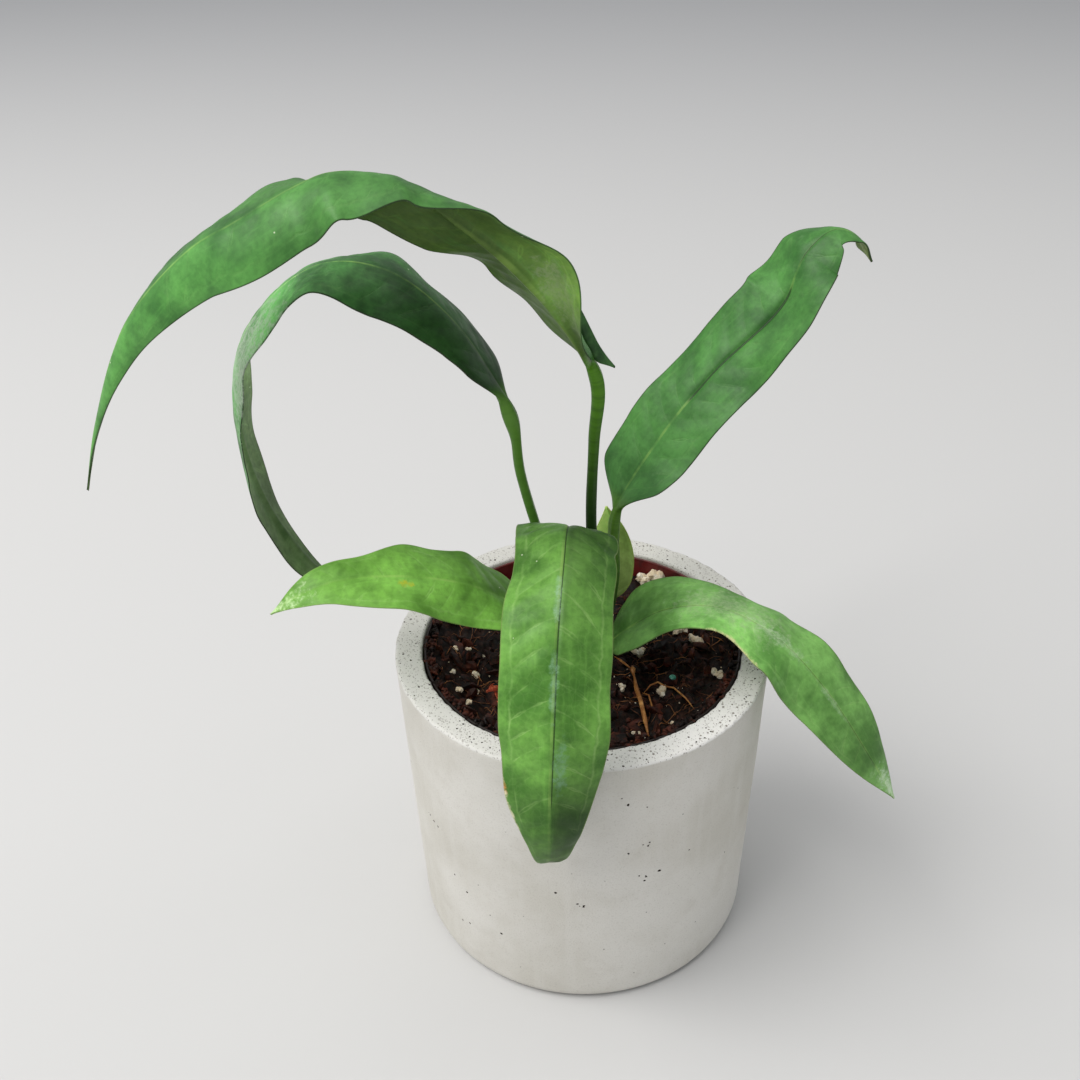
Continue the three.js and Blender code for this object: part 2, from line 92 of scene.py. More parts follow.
LEAVES = {
    "leaf_tall": leaf_table(
        stem=2.4, petiole=136, width=43, base=0.1, taper_bend=1.5, taper_point=1.5, curl=(-50, -15),
        wave=(1, 41, 0.4, 2.6),
        route=[
            (3, 7.5, 122, 80, -80), (5.5, 6, 151, 80, -70), (4, 5, 191, 70, -60), (5, 4, 225, 50, -50),
            (6, 2, 250, 22, -40), (-3, -1, 271, 18, -34), (-20, -7, 296, 60, -36),
            (-37, -13, 314.5, 38, -64), (-57, -20, 332, 10, -70), (-75, -28, 337, -26, -50),
            (-88, -31, 332.5, -44, -6), (-106, -33, 323, -54, 0), (-121.5, -32, 314, -55, -3),
            (-147, -30, 288, -57, 0), (-165, -28, 251, -42, -10), (-174, -27, 224, -36, -26),
        ],
        trims=[(0.09, 0, -3.5, 0.05), (0.21, 1, -3, 0.05)],
        greens=((64, 120, 56), (88, 148, 72), (94, 124, 56)), veins=0.12, rib=0.45,
        stems=((36, 62, 22), (84, 136, 30)), knee=(0.6, 18), under_rib=((112, 140, 66), (0.5, 1.3)),
        tones=[
            (0, 0.8, 1), (0.06, 0.95, 1.4), (0.12, 2.9, 1.45), (0.16, 2.6, 1.3), (0.21, 1.3, 1),
            (0.26, 0.85, 0.78), (0.38, 0.9, 0.78), (0.5, 1.05, 0.7), (0.6, 1.32, 1.1), (1, 1.35, 1.1),
        ],
        # This patch is painted sheen.
        patches=[(0.12, 0.45, 0.06, 0.5, (182, 190, 160), 0.4)],
    ),
    "leaf_arching": leaf_table(
        petiole=130, width=38, base=0.08, taper_bend=1.6, taper_point=1.2, curl=(-12, -12),
        wave=(0.9, 37, 1.8, 0.2),
        route=[
            (-3.6, 9.5, 122, -20, -20), (-12, 6, 164, -17, -11), (-22, -1, 213, -8, 5),
            (-24.8, -8, 242, -5, 18), (-40, -1, 271, -10, -10), (-64, 1, 293, -37, -9),
            (-89, 3, 295, -7, -18), (-119, 5, 268, -19, -6), (-127.5, 6, 234, -22, -8),
            (-121, 6, 194, -5, -2), (-105, 7, 164, 33, 6), (-80, 8, 145, 33, 8),
        ],
        # The arching leaf's darker greens are painted shade under the tall leaf, and its dark band along the
        # underside's midrib is painted shade beside the raised rib.
        trims=[(0.17, 1, 2, 0.04)], greens=((44, 86, 40), (70, 124, 62), (116, 144, 94)), veins=0.1,
        stems=((92, 138, 54), (88, 132, 48)), knee=(1.1, 8), under_rib=((52, 82, 38), (1.4, 4.2)),
        tones=[
            (0, 0.5, 0.6), (0.15, 0.6, 0.7), (0.25, 1.15, 1.1), (0.36, 3, 2.2), (0.5, 3.4, 2.6),
            (0.62, 2.3, 1.8), (0.78, 1.15, 0.95), (1, 1, 0.9),
        ],
        # This patch is painted sheen.
        patches=[(0.48, 0.6, 0.13, 1.2, (184, 200, 178), 0.75)],
    ),
    "leaf_upright": leaf_table(
        across=(-0.35, 0.75, 0.5), stem=2.4, petiole=65, width=37, base=0.13, taper=0.62, taper_bend=2,
        wave=(0.7, 39, 3.1, 1.2),
        route=[
            (7.6, 11.6, 122, 0, 0), (13, 12.5, 156, -7, 25), (14, 17, 186, -10, 36), (29, 26, 211, -4, 6),
            (50, 34, 237, -12, -1), (75, 40, 262, 2, 16), (83, 46, 280, -20, -9), (94, 50, 287.5, -51, 8),
            (103, 49, 284, -29, 13), (108, 46, 276, -3, 7),
        ],
        trims=[(0.95, 0, 2.5, 0.03), (0.69, 0, 2, 0.04), (0.8, 0, -1, 0.03)],
        greens=((60, 114, 52), (78, 134, 64), (128, 150, 84)), veins=0.12, rib=0.42,
        creases=[(0.3, 0.72, 0.85), (0.72, 0.92, 0.5)],
        tones=[(0, 0.85, 0.9), (0.15, 1.1, 1.1), (0.6, 1.15, 1.05), (0.85, 1.25, 1.1), (1, 1.1, 1)],
    ),
    "leaf_front": leaf_table(
        across=(1, 0, 0), stem=2.3, petiole=45, width=40, base=0.13, taper=0.6, taper_bend=2.2,
        taper_point=1, curl=(-15, -15), wave=(0.8, 36, 0.9, 3.4),
        route=[
            (1.4, 1, 122, 10, 10), (1, 0, 150, 9, 14), (-1, -5, 180, 4, 16), (-3.2, -14, 198, -12, 8),
            (-4.7, -29, 209, -27, -14), (-6, -50, 207, -24, -20), (-7.8, -72, 192, -23, -8),
            (-9.2, -88, 167, -18, -15), (-10.5, -96, 139, -20, -20), (-11, -96, 117, -24, -14),
            (-12, -89, 103, -6, 2), (-13, -80, 99, 0, 0),
        ],
        greens=((74, 126, 46), (110, 162, 72), (104, 132, 70)), veins=0.8, rib=0.6, rib_offset=-0.8,
        creases=[(0.1, 0.8, 0.8)], margin=(126, 152, 84),
        trims=[
            (0.13, 0, -9, 0.06), (0.24, 0, 0.5, 0.03), (0.3, 0, -1, 0.03), (0.83, 0, -1.5, 0.06),
            (0.29, 1, -1.2, 0.06), (0.9, 1, -2, 0.08),
        ],
        tones=[
            (0, 0.5, 0.85), (0.24, 0.42, 0.98), (0.42, 0.95, 1.2), (0.6, 1.3, 1.35), (0.7, 1.05, 1.4),
            (0.8, 0.45, 1), (0.9, 0.5, 0.7), (1, 0.7, 0.65),
        ],
        # The last three patches, by the midrib, are painted sheen; the others are the bronze tip, an orange
        # nick and a pale edge.
        patches=[
            (1, 0.4, 0.13, 1.2, (64, 72, 42), 0.7), (0.755, -1, 0.014, 0.09, (206, 142, 84), 0.9),
            (0.8, -1, 0.06, 0.08, (232, 228, 190), 0.9), (0.42, -0.05, 0.05, 0.09, (168, 206, 172), 0.55),
            (0.56, -0.04, 0.07, 0.1, (150, 194, 158), 0.5), (0.7, 0.14, 0.06, 0.16, (126, 168, 138), 0.5),
        ],
    ),
    "leaf_left": leaf_table(
        petiole=31, width=32, base=0.2, taper_bend=1.7, wave=(0.7, 33, 2.2, 0.7),
        route=[
            (-3.8, 4.4, 122, 0, 0), (-9.5, 1.5, 138, 7, -2), (-20, -3, 152, 9, -5),
            (-31, -10, 164, -5, -3), (-44, -19, 177, -35, 4), (-67, -28, 187, -13, 13),
            (-89, -34, 189, -26, 28), (-103, -38, 185, -30, 32), (-113, -39, 178, -20, 30),
        ],
        trims=[(0.68, 1, -3.5, 0.1)], greens=((92, 146, 52), (120, 176, 74), (120, 150, 84)), veins=0.5,
        margin=(132, 172, 86),
        tones=[
            (0, 2.2, 0.8), (0.18, 1.9, 1), (0.3, 1.65, 1.2), (0.42, 1.7, 1.4), (0.6, 1.5, 1.5),
            (0.8, 1.25, 1.25), (1, 1.45, 1.45),
        ],
        patches=[(0.56, 0.22, 0.04, 0.14, (206, 206, 50), 0.75), (1, 0, 0.16, 1.2, (216, 246, 186), 0.8)],
    ),
    "leaf_right": leaf_table(
        across=(0, 1, 0), petiole=9, width=37, base=0.16, base_round=1.8, taper=0.45, taper_bend=1.5,
        taper_point=1, curl=(-12, -12), wave=(0.8, 35, 1.1, 2.9),
        route=[
            (7.9, 3.4, 122, 0, 0), (10.5, 0, 131, 14, -4), (17, -4.5, 143, 12, -2), (32, -9, 157, 0, 4),
            (53, -17, 164, -18, 2), (74, -26, 156.5, 4, -26), (93, -35, 137.5, 30, -58),
            (112, -40, 107.5, 38, -54), (125, -36, 82, 36, -38),
        ],
        trims=[
            (0.08, 1, -3, 0.06), (0.24, 1, -4.2, 0.1), (0.4, 1, -3, 0.07), (0.75, 1, 1.2, 0.15),
            (0.08, 0, -2, 0.05), (0.4, 0, -2, 0.06), (0.8, 0, 2.5, 0.14),
        ],
        greens=((80, 130, 56), (110, 160, 82), (112, 142, 80)), veins=0.3, creases=[(0.08, 0.9, 0.35)],
        margin=(110, 136, 78),
        tones=[
            (0, 0.9, 1), (0.15, 1.1, 1.3), (0.3, 1.6, 2), (0.42, 1.8, 2.1), (0.52, 1.4, 1.6),
            (0.7, 1.4, 1.25), (0.85, 1.3, 1.2), (1, 2.2, 2.2),
        ],
        # The first patch is the pale tip, with painted sheen; the second the pale margin; the last three
        # painted sheen along the arch.
        patches=[
            (0.97, 0.1, 0.1, 1, (216, 238, 206), 0.9), (0.4, -1, 0.09, 0.1, (226, 222, 164), 0.95),
            (0.36, 0.1, 0.16, 0.9, (190, 206, 168), 0.35), (0.48, 0, 0.1, 0.22, (186, 212, 174), 0.4),
            (0.66, -0.05, 0.08, 0.12, (176, 204, 164), 0.4),
        ],
    ),
    "leaf_young": leaf_table(
        across=(-1, 0, 0), stem=1.6, petiole=18, width=16, base=0.3, base_round=1.6, taper_bend=1.6,
        curl=(14, 14), wave=(0.4, 24, 0, 1.5),
        route=[
            (3, 14.2, 122, 20, 20), (8, 18.5, 132, 20, 20), (12, 22, 146, 20, 25), (14, 24, 160, 16, 28),
            (13, 24.5, 172, 12, 24), (10, 23.5, 183, 8, 20),
        ],
        trims=[(0.78, 0, 3, 0.14), (0.12, 1, 2.5, 0.12)],
        # The young leaf's pale greens and high tones are painted light, for the light that shines through
        # its thin blade.
        greens=((128, 156, 78), (160, 184, 108), (176, 204, 104)), veins=0.3, rib=0.7,
        margin=(178, 200, 100),
        tones=[(0, 1.5, 1), (0.4, 1.9, 1.5), (0.6, 2.6, 1.9), (0.8, 3.8, 2.1), (1, 4.2, 2.2)],
    ),
}
STEM = Table(
    turn=88, taper=0.12, knee_below=7, channel=(0.18, 0.5), rough=[(0.03, 4.1, 1), (0.05, 9.7, 2)],
)
VEIN = Table(
    spacing=9.5, lean=0.35, bend=0.45, collective=0.78, stagger=0.37, width=0.9, start=(0.8, 4),
    end=(0.74, 0.9), drifts=[(2.1, 17, 1, 1.7), (1.1, 6.9, 2.3, 3)],
)
RELIEF = Table(quilt=0.16, vein=0.16, vein_below=1.6, pucker=0.5, pucker_size=17, least=0.3)
CREASE = Table(ends=0.06, folds=[(0.7, 0.75), (0.2, 2.4)])
LEAF_GRID = Table(half_points=26, crowding=0.06, blade_step=0.9, stem_step=2.0, spine_steps=601)

# Colours that the leaves share, from 0 to 255
LEAF_TINTS = Table(
    vein=(158, 196, 118), rib=(142, 180, 92), bloom=(150, 178, 136), under_bloom=(134, 148, 104),
    speck=(204, 216, 184),
)


def linear(rgb):
    """A colour from 0 to 255 as Blender's linear numbers."""
    return tuple((c / 255 / 12.92 if c <= 10 else ((c / 255 + 0.055) / 1.055) ** 2.4) for c in rgb) + (1,)


class Shader:
    """A material. Each method adds a node and gives its output, and an input may be a number or an output.
    Its color is what has been painted so far, and the last step sets it as the material's own."""

    def __init__(self, name, color, roughness, specular=0.5):
        self.material = bpy.data.materials.new(name)
        self.material.use_nodes = True
        self.tree = self.material.node_tree
        self.surface = self.tree.nodes["Principled BSDF"]
        self.color = color
        self.set("Base Color", linear(color))
        self.set("Roughness", roughness)
        self.set("Specular IOR Level", specular)

    def put(self, socket, value):
        if isinstance(value, bpy.types.NodeSocket):
            self.tree.links.new(value, socket)
        elif value is not None:
            socket.default_value = value

    def set(self, name, value):
        self.put(self.surface.inputs[name], value)

    def add(self, kind, **options):
        node = self.tree.nodes.new(kind)
        for key, value in options.items():
            setattr(node, key, value)
        return node

    def math(self, operation, a, b=None, c=None):
        node = self.add("ShaderNodeMath", operation=operation)
        for socket, value in zip(node.inputs, (a, b, c)):
            self.put(socket, value)
        return node.outputs[0]

    def product(self, a, b):
        return self.math("MULTIPLY", a, b)

    def size(self, value):
        return self.math("ABSOLUTE", value)

    def mix(self, share, a, b, blend="MIX"):
        node = self.add("ShaderNodeMix", data_type="RGBA", blend_type=blend, clamp_factor=True)
        for socket, value in zip([node.inputs[0], *node.inputs[6:8]], (share, a, b)):
            self.put(socket, linear(value) if isinstance(value, tuple) and len(value) == 3 else value)
        return node.outputs[2]

    def smooth(self, value, low, high, start=0.0, end=1.0):
        node = self.add("ShaderNodeMapRange", interpolation_type="SMOOTHSTEP")
        for socket, number in zip(node.inputs, (value, low, high, start, end)):
            self.put(socket, number)
        return node.outputs[0]

    def value_of(self, name):
        """A number that the mesh holds at each of its points."""
        return self.add("ShaderNodeAttribute", attribute_name=name).outputs["Fac"]

    def vector(self, x, y, z):
        node = self.add("ShaderNodeCombineXYZ")
        for socket, value in zip(node.inputs, (x, y, z)):
            self.put(socket, value)
        return node.outputs[0]

    def place(self, scale=(1, 1, 1)):
        """The place on the object in millimetres, stretched."""
        node = self.add("ShaderNodeMapping")
        self.put(node.inputs["Vector"], self.add("ShaderNodeTexCoord").outputs["Object"])
        self.put(node.inputs["Scale"], [axis / MM for axis in scale])
        return node.outputs[0]

    def axes(self, vector):
        node = self.add("ShaderNodeSeparateXYZ")
        self.put(node.inputs[0], vector)
        return node.outputs

    def reach(self, x, y):
        """How far a pair of numbers is from nought."""
        node = self.add("ShaderNodeVectorMath", operation="LENGTH")
        self.put(node.inputs[0], self.vector(x, y, 0))
        return node.outputs["Value"]

    def paint(self, tint, *shares):
        """Lays a colour over the one that is there, by the product of the shares."""
        share = shares[0]
        for more in shares[1:]:
            share = self.product(share, more)
        self.color = self.mix(share, self.color, tint)

    def noise(self, vector, size, detail=3.0, roughness=0.5):
        """Noise whose lumps are about that many millimetres across."""
        node = self.add("ShaderNodeTexNoise")
        for name, value in (("Vector", vector), ("Scale", 1 / size), ("Detail", detail),
                            ("Roughness", roughness)):
            self.put(node.inputs[name], value)
        return node.outputs["Fac"]

    def cells(self, vector, size, feature="F1", output="Distance"):
        node = self.add("ShaderNodeTexVoronoi", feature=feature)
        self.put(node.inputs["Vector"], vector)
        self.put(node.inputs["Scale"], 1 / size)
        return node.outputs[output]

    def dots(self, vector, spacing, radius, share):
        """Small round dots: about one cell in so many of that spacing holds one."""
        near = self.cells(vector, spacing)
        chance = self.add("ShaderNodeSeparateColor")
        self.put(chance.inputs[0], self.cells(vector, spacing, output="Color"))
        picked = self.math("GREATER_THAN", share, chance.outputs[0])
        size = self.product(self.math("ADD", chance.outputs[1], 0.4), radius / spacing)
        inside = self.smooth(self.math("SUBTRACT", near, size), 0.0, -0.4 * radius / spacing)
        return self.product(inside, picked)

    def bump(self, height, depth, strength=1.0):
        """Relief of that depth in millimetres."""
        node = self.add("ShaderNodeBump")
        self.put(node.inputs["Height"], height)
        self.put(node.inputs["Distance"], depth * MM)
        self.put(node.inputs["Strength"], strength)
        self.set("Normal", node.outputs[0])


def smoothstep(values, low, high):
    share = np.clip((values - low) / (high - low), 0, 1)
    return share * share * (3 - 2 * share)


def bell(values, width):
    return np.exp(-((values / width) ** 2))


def unit(vectors):
    return vectors / np.linalg.norm(vectors, axis=-1, keepdims=True)


def round_place(angle, radius, z):
    return radius * math.cos(angle), radius * math.sin(angle), z


def placed(name, mesh, materials, smooth=True):
    """The object of a mesh, in the scene."""
    for material in materials:
        mesh.materials.append(material)
    mesh.polygons.foreach_set("use_smooth", [smooth] * len(mesh.polygons))
    piece = bpy.data.objects.new(name, mesh)
    bpy.context.scene.collection.objects.link(piece)
    return piece


def mesh_piece(name, vertices, faces, materials, face_materials=None):
    """A mesh object from points in millimetres."""
    mesh = bpy.data.meshes.new(name)
    mesh.from_pydata((np.asarray(vertices, float) * MM).tolist(), [], faces)
    piece = placed(name, mesh, materials)
    if face_materials is not None:
        mesh.polygons.foreach_set("material_index", np.asarray(face_materials, np.int32))
    mesh.update()
    return piece


def bmesh_piece(name, shape, materials, smooth=False):
    mesh = bpy.data.meshes.new(name)
    shape.to_mesh(mesh)
    shape.free()
    return placed(name, mesh, materials, smooth)


def add_lump(shape, place, radii, draw, fineness, jitter=0.0):
    """A lump at a place in millimetres, turned at random."""
    made = bmesh.ops.create_icosphere(shape, subdivisions=fineness, radius=1)
    turn = Quaternion(draw.normal(size=4)).normalized().to_matrix()
    stretch = Matrix.Diagonal(Vector([float(r) for r in radii]))
    for vertex in made["verts"]:
        swell = 1 + jitter * draw.uniform(-1, 1)
        vertex.co = (turn @ (stretch @ (vertex.co * swell)) + Vector(place)) * MM


def finish_piece(piece, slot, *nodes):
    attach(piece, "root")
    if nodes:
        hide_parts(*nodes)


def rings(rows, columns):
    """Faces between rows of points, each row a ring."""
    row, column = np.meshgrid(np.arange(rows - 1), np.arange(columns), indexing="ij")
    a = (row * columns + column).ravel()
    b = (row * columns + (column + 1) % columns).ravel()
    return np.stack([a, b, b + columns, a + columns], 1).tolist()


def capped(rows, columns):
    """Faces of a closed tube: its rings, and a cap at each end."""
    first = list(range(columns))
    last = [(rows - 1) * columns + i for i in first]
    return [*rings(rows, columns), first[::-1], last]


def turned_faces(rows, columns):
    """Faces of a turned body whose last two points are its ends on the axis."""
    faces = rings(rows, columns)
    end, last = rows * columns, (rows - 1) * columns
    for i in range(columns):
        after = (i + 1) % columns
        faces += [[end, after, i], [end + 1, last + i, last + after]]
    return faces


def tubes(name, strands, material, sides):
    """Round strands, each a path in millimetres and a radius, with pointed ends."""
    points, faces = [], []
    for path, radius in strands:
        path = np.array(path)
        tangent = unit(np.gradient(path, axis=0))
        side = unit(np.cross(tangent, (0.11, 0.23, 0.97)))
        normal = np.cross(tangent, side)
        size = radius * np.sqrt(np.clip(1 - np.linspace(-1, 1, len(path)) ** 8, 0.02, 1))
        turn = np.linspace(0, 2 * np.pi, sides, endpoint=False)[:, None]
        ring = side[:, None] * np.cos(turn) + normal[:, None] * np.sin(turn)
        first = len(points)
        points += (path[:, None] + ring * size[:, None, None]).reshape(-1, 3).tolist()
        faces += [[first + i for i in face] for face in capped(len(path), sides)]
    return mesh_piece(name, points, faces, [material])


# Leaves


def knot_before(knots, t):
    """The knot before each share t of a line, and how far the share is on the way to the next one."""
    spot = np.clip(t, 0, 1) * (len(knots) - 1)
    row = np.minimum(spot.astype(int), len(knots) - 2)
    return row, (spot - row)[:, None]


def spine_points(knots, t):
    """Centripetal Catmull-Rom through the knots, at shares t."""
    padded = np.vstack([2 * knots[0] - knots[1], knots, 2 * knots[-1] - knots[-2]])
    row, w = knot_before(knots, t)
    p0, p1, p2, p3 = (padded[row + k] for k in range(4))
    d0, d1, d2 = (np.sqrt(np.linalg.norm(b - a, axis=1))[:, None] for a, b in ((p0, p1), (p1, p2), (p2, p3)))
    m1 = ((p1 - p0) / d0 - (p2 - p0) / (d0 + d1) + (p2 - p1) / d1) * d1
    m2 = ((p2 - p1) / d1 - (p3 - p1) / (d1 + d2) + (p3 - p2) / d2) * d1
    return p1 + m1 * w + (3 * (p2 - p1) - 2 * m1 - m2) * w**2 + (2 * (p1 - p2) + m1 + m2) * w**3


def width_share(leaf, x):
    """Half width of a blade, as a share of its widest."""
    from_base = np.clip(x / leaf.base, 0, 1)
    base = (1 - (1 - from_base) ** leaf.base_round) ** (1 / leaf.base_round)
    to_tip = np.clip((x - leaf.taper) / (1 - leaf.taper), 0, 1)
    return base * (1 - to_tip ** leaf.taper_bend) ** leaf.taper_point


def leaf_fields(leaf):
    """The flat fields of a leaf on a grid of stations and places across, and its spine."""
    route = np.array(leaf.route, float)
    knots, rises = route[:, :3], np.radians(route[:, 3:])
    t_fine = np.linspace(0, 1, LEAF_GRID.spine_steps)
    chords = np.linalg.norm(np.diff(spine_points(knots, t_fine), axis=0), axis=1)
    reach = np.concatenate([[0], np.cumsum(chords)])
    length, petiole = reach[-1], leaf.petiole
    stem_count = int(petiole / LEAF_GRID.stem_step)
    blade_count = int((length - petiole) / LEAF_GRID.blade_step)
    along = np.concatenate([
        np.linspace(0, petiole, stem_count, endpoint=False), np.linspace(petiole, length, blade_count + 1),
    ])
    t = np.interp(along, reach, t_fine)
    row, way = knot_before(knots, t)
    ease = smoothstep(way, 0, 1)
    tangent = unit(spine_points(knots, t + 1e-4) - spine_points(knots, t - 1e-4))
    across = np.array(leaf.across, float)
    side = unit(across - (tangent @ across)[:, None] * tangent)
    along = along[:, None]
    x = (along - petiole) / (length - petiole)
    return Table(
        along=along, x=x, from_base=along - petiole, share=width_share(leaf, x), **half_fields(leaf, x),
        place=spine_points(knots, t)[:, None], side=side[:, None], normal=np.cross(tangent, side)[:, None],
        rises=rises[row] * (1 - ease) + rises[row + 1] * ease,
        blade=smoothstep(along, petiole - BLADE.join_before, petiole + BLADE.join_after),
    )


def half_fields(leaf, x):
    """The places across a blade, from its near margin to its far one, and its half widths."""
    steps = np.linspace(0, 1, LEAF_GRID.half_points + 1)
    half = steps - LEAF_GRID.crowding * np.sin(2 * np.pi * steps)
    across = np.concatenate([half[::-1], -half[1:]])
    far = (across < 0).astype(int)
    width = np.maximum(leaf.width / 2 * width_share(leaf, x), BLADE.tip) * np.ones(len(across))
    for middle, which, change, spread in leaf.trims:
        width = np.where(far == which, width + change * bell(x - middle, spread), width)
    width = np.maximum(width, BLADE.tip)
    u = np.abs(across)
    return dict(across=across, u=u, far=far, sign=np.where(far, -1.0, 1.0), width=width, rib=u * width)


def add_relief(leaf, at, seed):
    """Adds the blade's waves, puckers, veins, keel and creases to its fields."""
    u, rib, far, share, from_base = at.u, at.rib, at.far, at.share, at.from_base
    wave_height, wave_length, *shifts = leaf.wave
    swing = np.sin(2 * np.pi * at.along / wave_length + np.array(shifts)[far])
    wave = wave_height * u**2 * swing * share
    drift = from_base
    for size, length, turn, shift in VEIN.drifts:
        drift = drift + size * np.sin(from_base / length + turn * seed + shift * far)
    phase = (drift - (VEIN.lean + VEIN.bend * u) * rib) / VEIN.spacing + VEIN.stagger * far
    vein_gap = np.abs(phase - np.round(phase)) * VEIN.spacing
    between = smoothstep(rib, *VEIN.start) * (1 - smoothstep(u, *VEIN.end)) * share
    strength = RELIEF.least + (1 - RELIEF.least) * leaf.veins
    quilt = strength * RELIEF.quilt * np.cos(2 * np.pi * phase) * between
    groove = strength * RELIEF.vein * bell(vein_gap, VEIN.width) * between
    grain = RELIEF.pucker_size
    pucker = np.array([
        [noise.fractal((a / grain, b / grain, 9.7 * seed), 1.0, 2.0, 2) for b in row]
        for a, row in zip(from_base[:, 0], at.sign * rib)
    ])
    pucker = RELIEF.pucker * pucker * (0.25 + u) * share
    ridge = bell(rib, BLADE.keel_width)
    narrow = at.width.min(axis=1, keepdims=True)
    crease, ends = np.zeros_like(rib), CREASE.ends
    for start, end, depth in leaf.creases:
        window = smoothstep(at.x, start, start + ends) * (1 - smoothstep(at.x, end - ends, end))
        crease = np.maximum(crease, depth * window * np.ones(len(u)))
    fold = sum(depth * crease * bell(rib, width) for depth, width in CREASE.folds)
    at.phase, at.crease, at.groove = phase, crease, groove
    at.keel = BLADE.keel * np.minimum(1, narrow / BLADE.full_keel) * ridge
    at.lift = wave + pucker - quilt - groove - fold - BLADE.groove * ridge * share


def blade_faces(leaf, at):
    """The upper and lower faces of the blade, its halves raised and curled about the midrib."""
    u, far, sign, width = at.u, at.far, at.sign, at.width
    curl = np.radians(np.array(leaf.curl))[far]
    start = at.rises[:, far] - curl / 2
    end = start + curl * u
    outward = width * (np.sin(end) - np.sin(start)) / curl
    upward = width * (np.cos(start) - np.cos(end)) / curl
    middle_tilt = (at.rises[:, :1] - at.rises[:, 1:]) / 2
    tilt = np.where(u == 0, middle_tilt, sign * end)
    up = at.normal * np.cos(tilt)[..., None] - at.side * np.sin(tilt)[..., None]
    thin = (BLADE.thickness - BLADE.margin) * smoothstep(u, BLADE.thin_from, 1) / 2
    flat = at.place + at.side * (sign * outward)[..., None] + at.normal * upward[..., None]
    top = flat + up * (at.lift - thin)[..., None]
    depth = BLADE.thickness - 2 * thin + at.keel + at.groove * RELIEF.vein_below
    return top, top - up * depth[..., None]


def stem_faces(leaf, at, seed):
    """The upper and lower faces of the petiole, with a shallow channel along the top."""
    swell, spread = leaf.knee
    knee = swell * bell(at.along - leaf.petiole + STEM.knee_below, spread)
    rough = sum(size * np.sin(at.along / length + turn * seed) for size, length, turn in STEM.rough)
    radius = leaf.stem * (1 - STEM.taper * at.along / leaf.petiole) + knee + rough
    turn = np.radians(STEM.turn) * np.linspace(1, -1, len(at.u))
    channel_depth, channel_width = STEM.channel
    channel = channel_depth * bell(turn, channel_width)
    middle = at.place + at.side * (radius * np.sin(turn))[..., None]
    top = middle + at.normal * (radius * (np.cos(turn) - channel))[..., None]
    return top, middle - at.normal * (radius * np.cos(turn))[..., None]


def add_leaf_values(mesh, leaf, at):
    """Gives the mesh the numbers that the leaf's material reads."""
    flat = np.ones_like(at.rib)
    share = np.clip(at.x, -1, 1) * flat
    # The tones brighten and darken each half along the leaf: mostly painted light and shade, partly the
    # leaf's own tone.
    tones = np.array(leaf.tones)
    near, far = (np.interp(share, tones[:, 0], tones[:, column]) for column in (1, 2))
    for key, values in (
        ("across", at.across * flat), ("rib_mm", at.sign * at.rib),
        ("edge_mm", at.width - at.rib), ("phase", at.phase), ("from_base", at.from_base * flat),
        ("blade", at.blade * flat), ("crease", at.crease), ("share", share),
        ("tone", far + (near - far) * smoothstep(at.across, -0.12, 0.12)),
    ):
        layer = mesh.attributes.new(key, "FLOAT", "POINT")
        both = np.concatenate([values, values[:, ::-1]], 1)
        layer.data.foreach_set("value", both.astype(np.float32).ravel())


def leaf_piece(name, leaf, seed, materials):
    """A leaf as one body: a ring at each station runs over its top and back along its underside."""
    at = leaf_fields(leaf)
    add_relief(leaf, at, seed)
    blend = at.blade[..., None]
    top, low = (
        stem * (1 - blend) + blade * blend
        for stem, blade in zip(stem_faces(leaf, at, seed), blade_faces(leaf, at))
    )
    count, wide = top.shape[:2]
    column = np.tile(np.arange(2 * wide), count - 1)
    under = ((column >= wide) & (column < 2 * wide - 1)).astype(int)
    points = np.concatenate([top, low[:, ::-1]], 1).reshape(-1, 3)
    piece = mesh_piece(name, points, capped(count, 2 * wide), materials, [*under, 1, 1])
    add_leaf_values(piece.data, leaf, at)
    return piece


def darker(color, share):
    return tuple(int(c * share) for c in color)


def leaf_veins(shader, spot, across):
    """Where the side veins show, with the vein that joins them along each margin, and how they fade."""
    gap = shader.product(shader.math("PINGPONG", shader.value_of("phase"), 0.5), VEIN.spacing)
    wobble = shader.product(shader.math("SUBTRACT", shader.noise(spot, 8), 0.5), 4.4)
    line = shader.smooth(shader.size(shader.math("ADD", gap, wobble)), 0.0, 0.6, 0.8, 0.0)
    side = shader.size(across)
    inner = shader.smooth(side, VEIN.collective - 0.02, VEIN.collective + 0.08, 1.0, 0.0)
    fade = shader.smooth(shader.noise(spot, 11), 0.36, 0.66, 0.12, 1.0)
    veins = shader.product(shader.product(line, inner), fade)
    ring = shader.math("MULTIPLY_ADD", wobble, 0.05, shader.math("SUBTRACT", side, VEIN.collective))
    ring = shader.smooth(shader.size(ring), 0.0, 0.04, 0.8, 0.0)
    return shader.math("MAXIMUM", veins, shader.product(ring, fade)), fade


def leaf_marks_and_sheens(shader, leaf, spot, share, across):
    """Pale, yellow and dry patches, and patches of painted sheen, with ragged and broken edges."""
    ragged = shader.math("MULTIPLY_ADD", shader.noise(spot, 3.2, 5, 0.7), 2.4, -1.2)
    broken = shader.smooth(shader.noise(spot, 1.3, 4, 0.7), 0.38, 0.6, 0.35, 1.0)
    for middle, where, reach, spread, tint, strength in leaf.patches:
        x = shader.math("MULTIPLY_ADD", share, 1 / reach, -middle / reach)
        y = shader.math("MULTIPLY_ADD", across, 1 / spread, -where / spread)
        away = shader.math("ADD", shader.reach(x, y), ragged)
        shader.paint(tint, shader.smooth(away, 0.3, 1.0, strength, 0.0), broken)


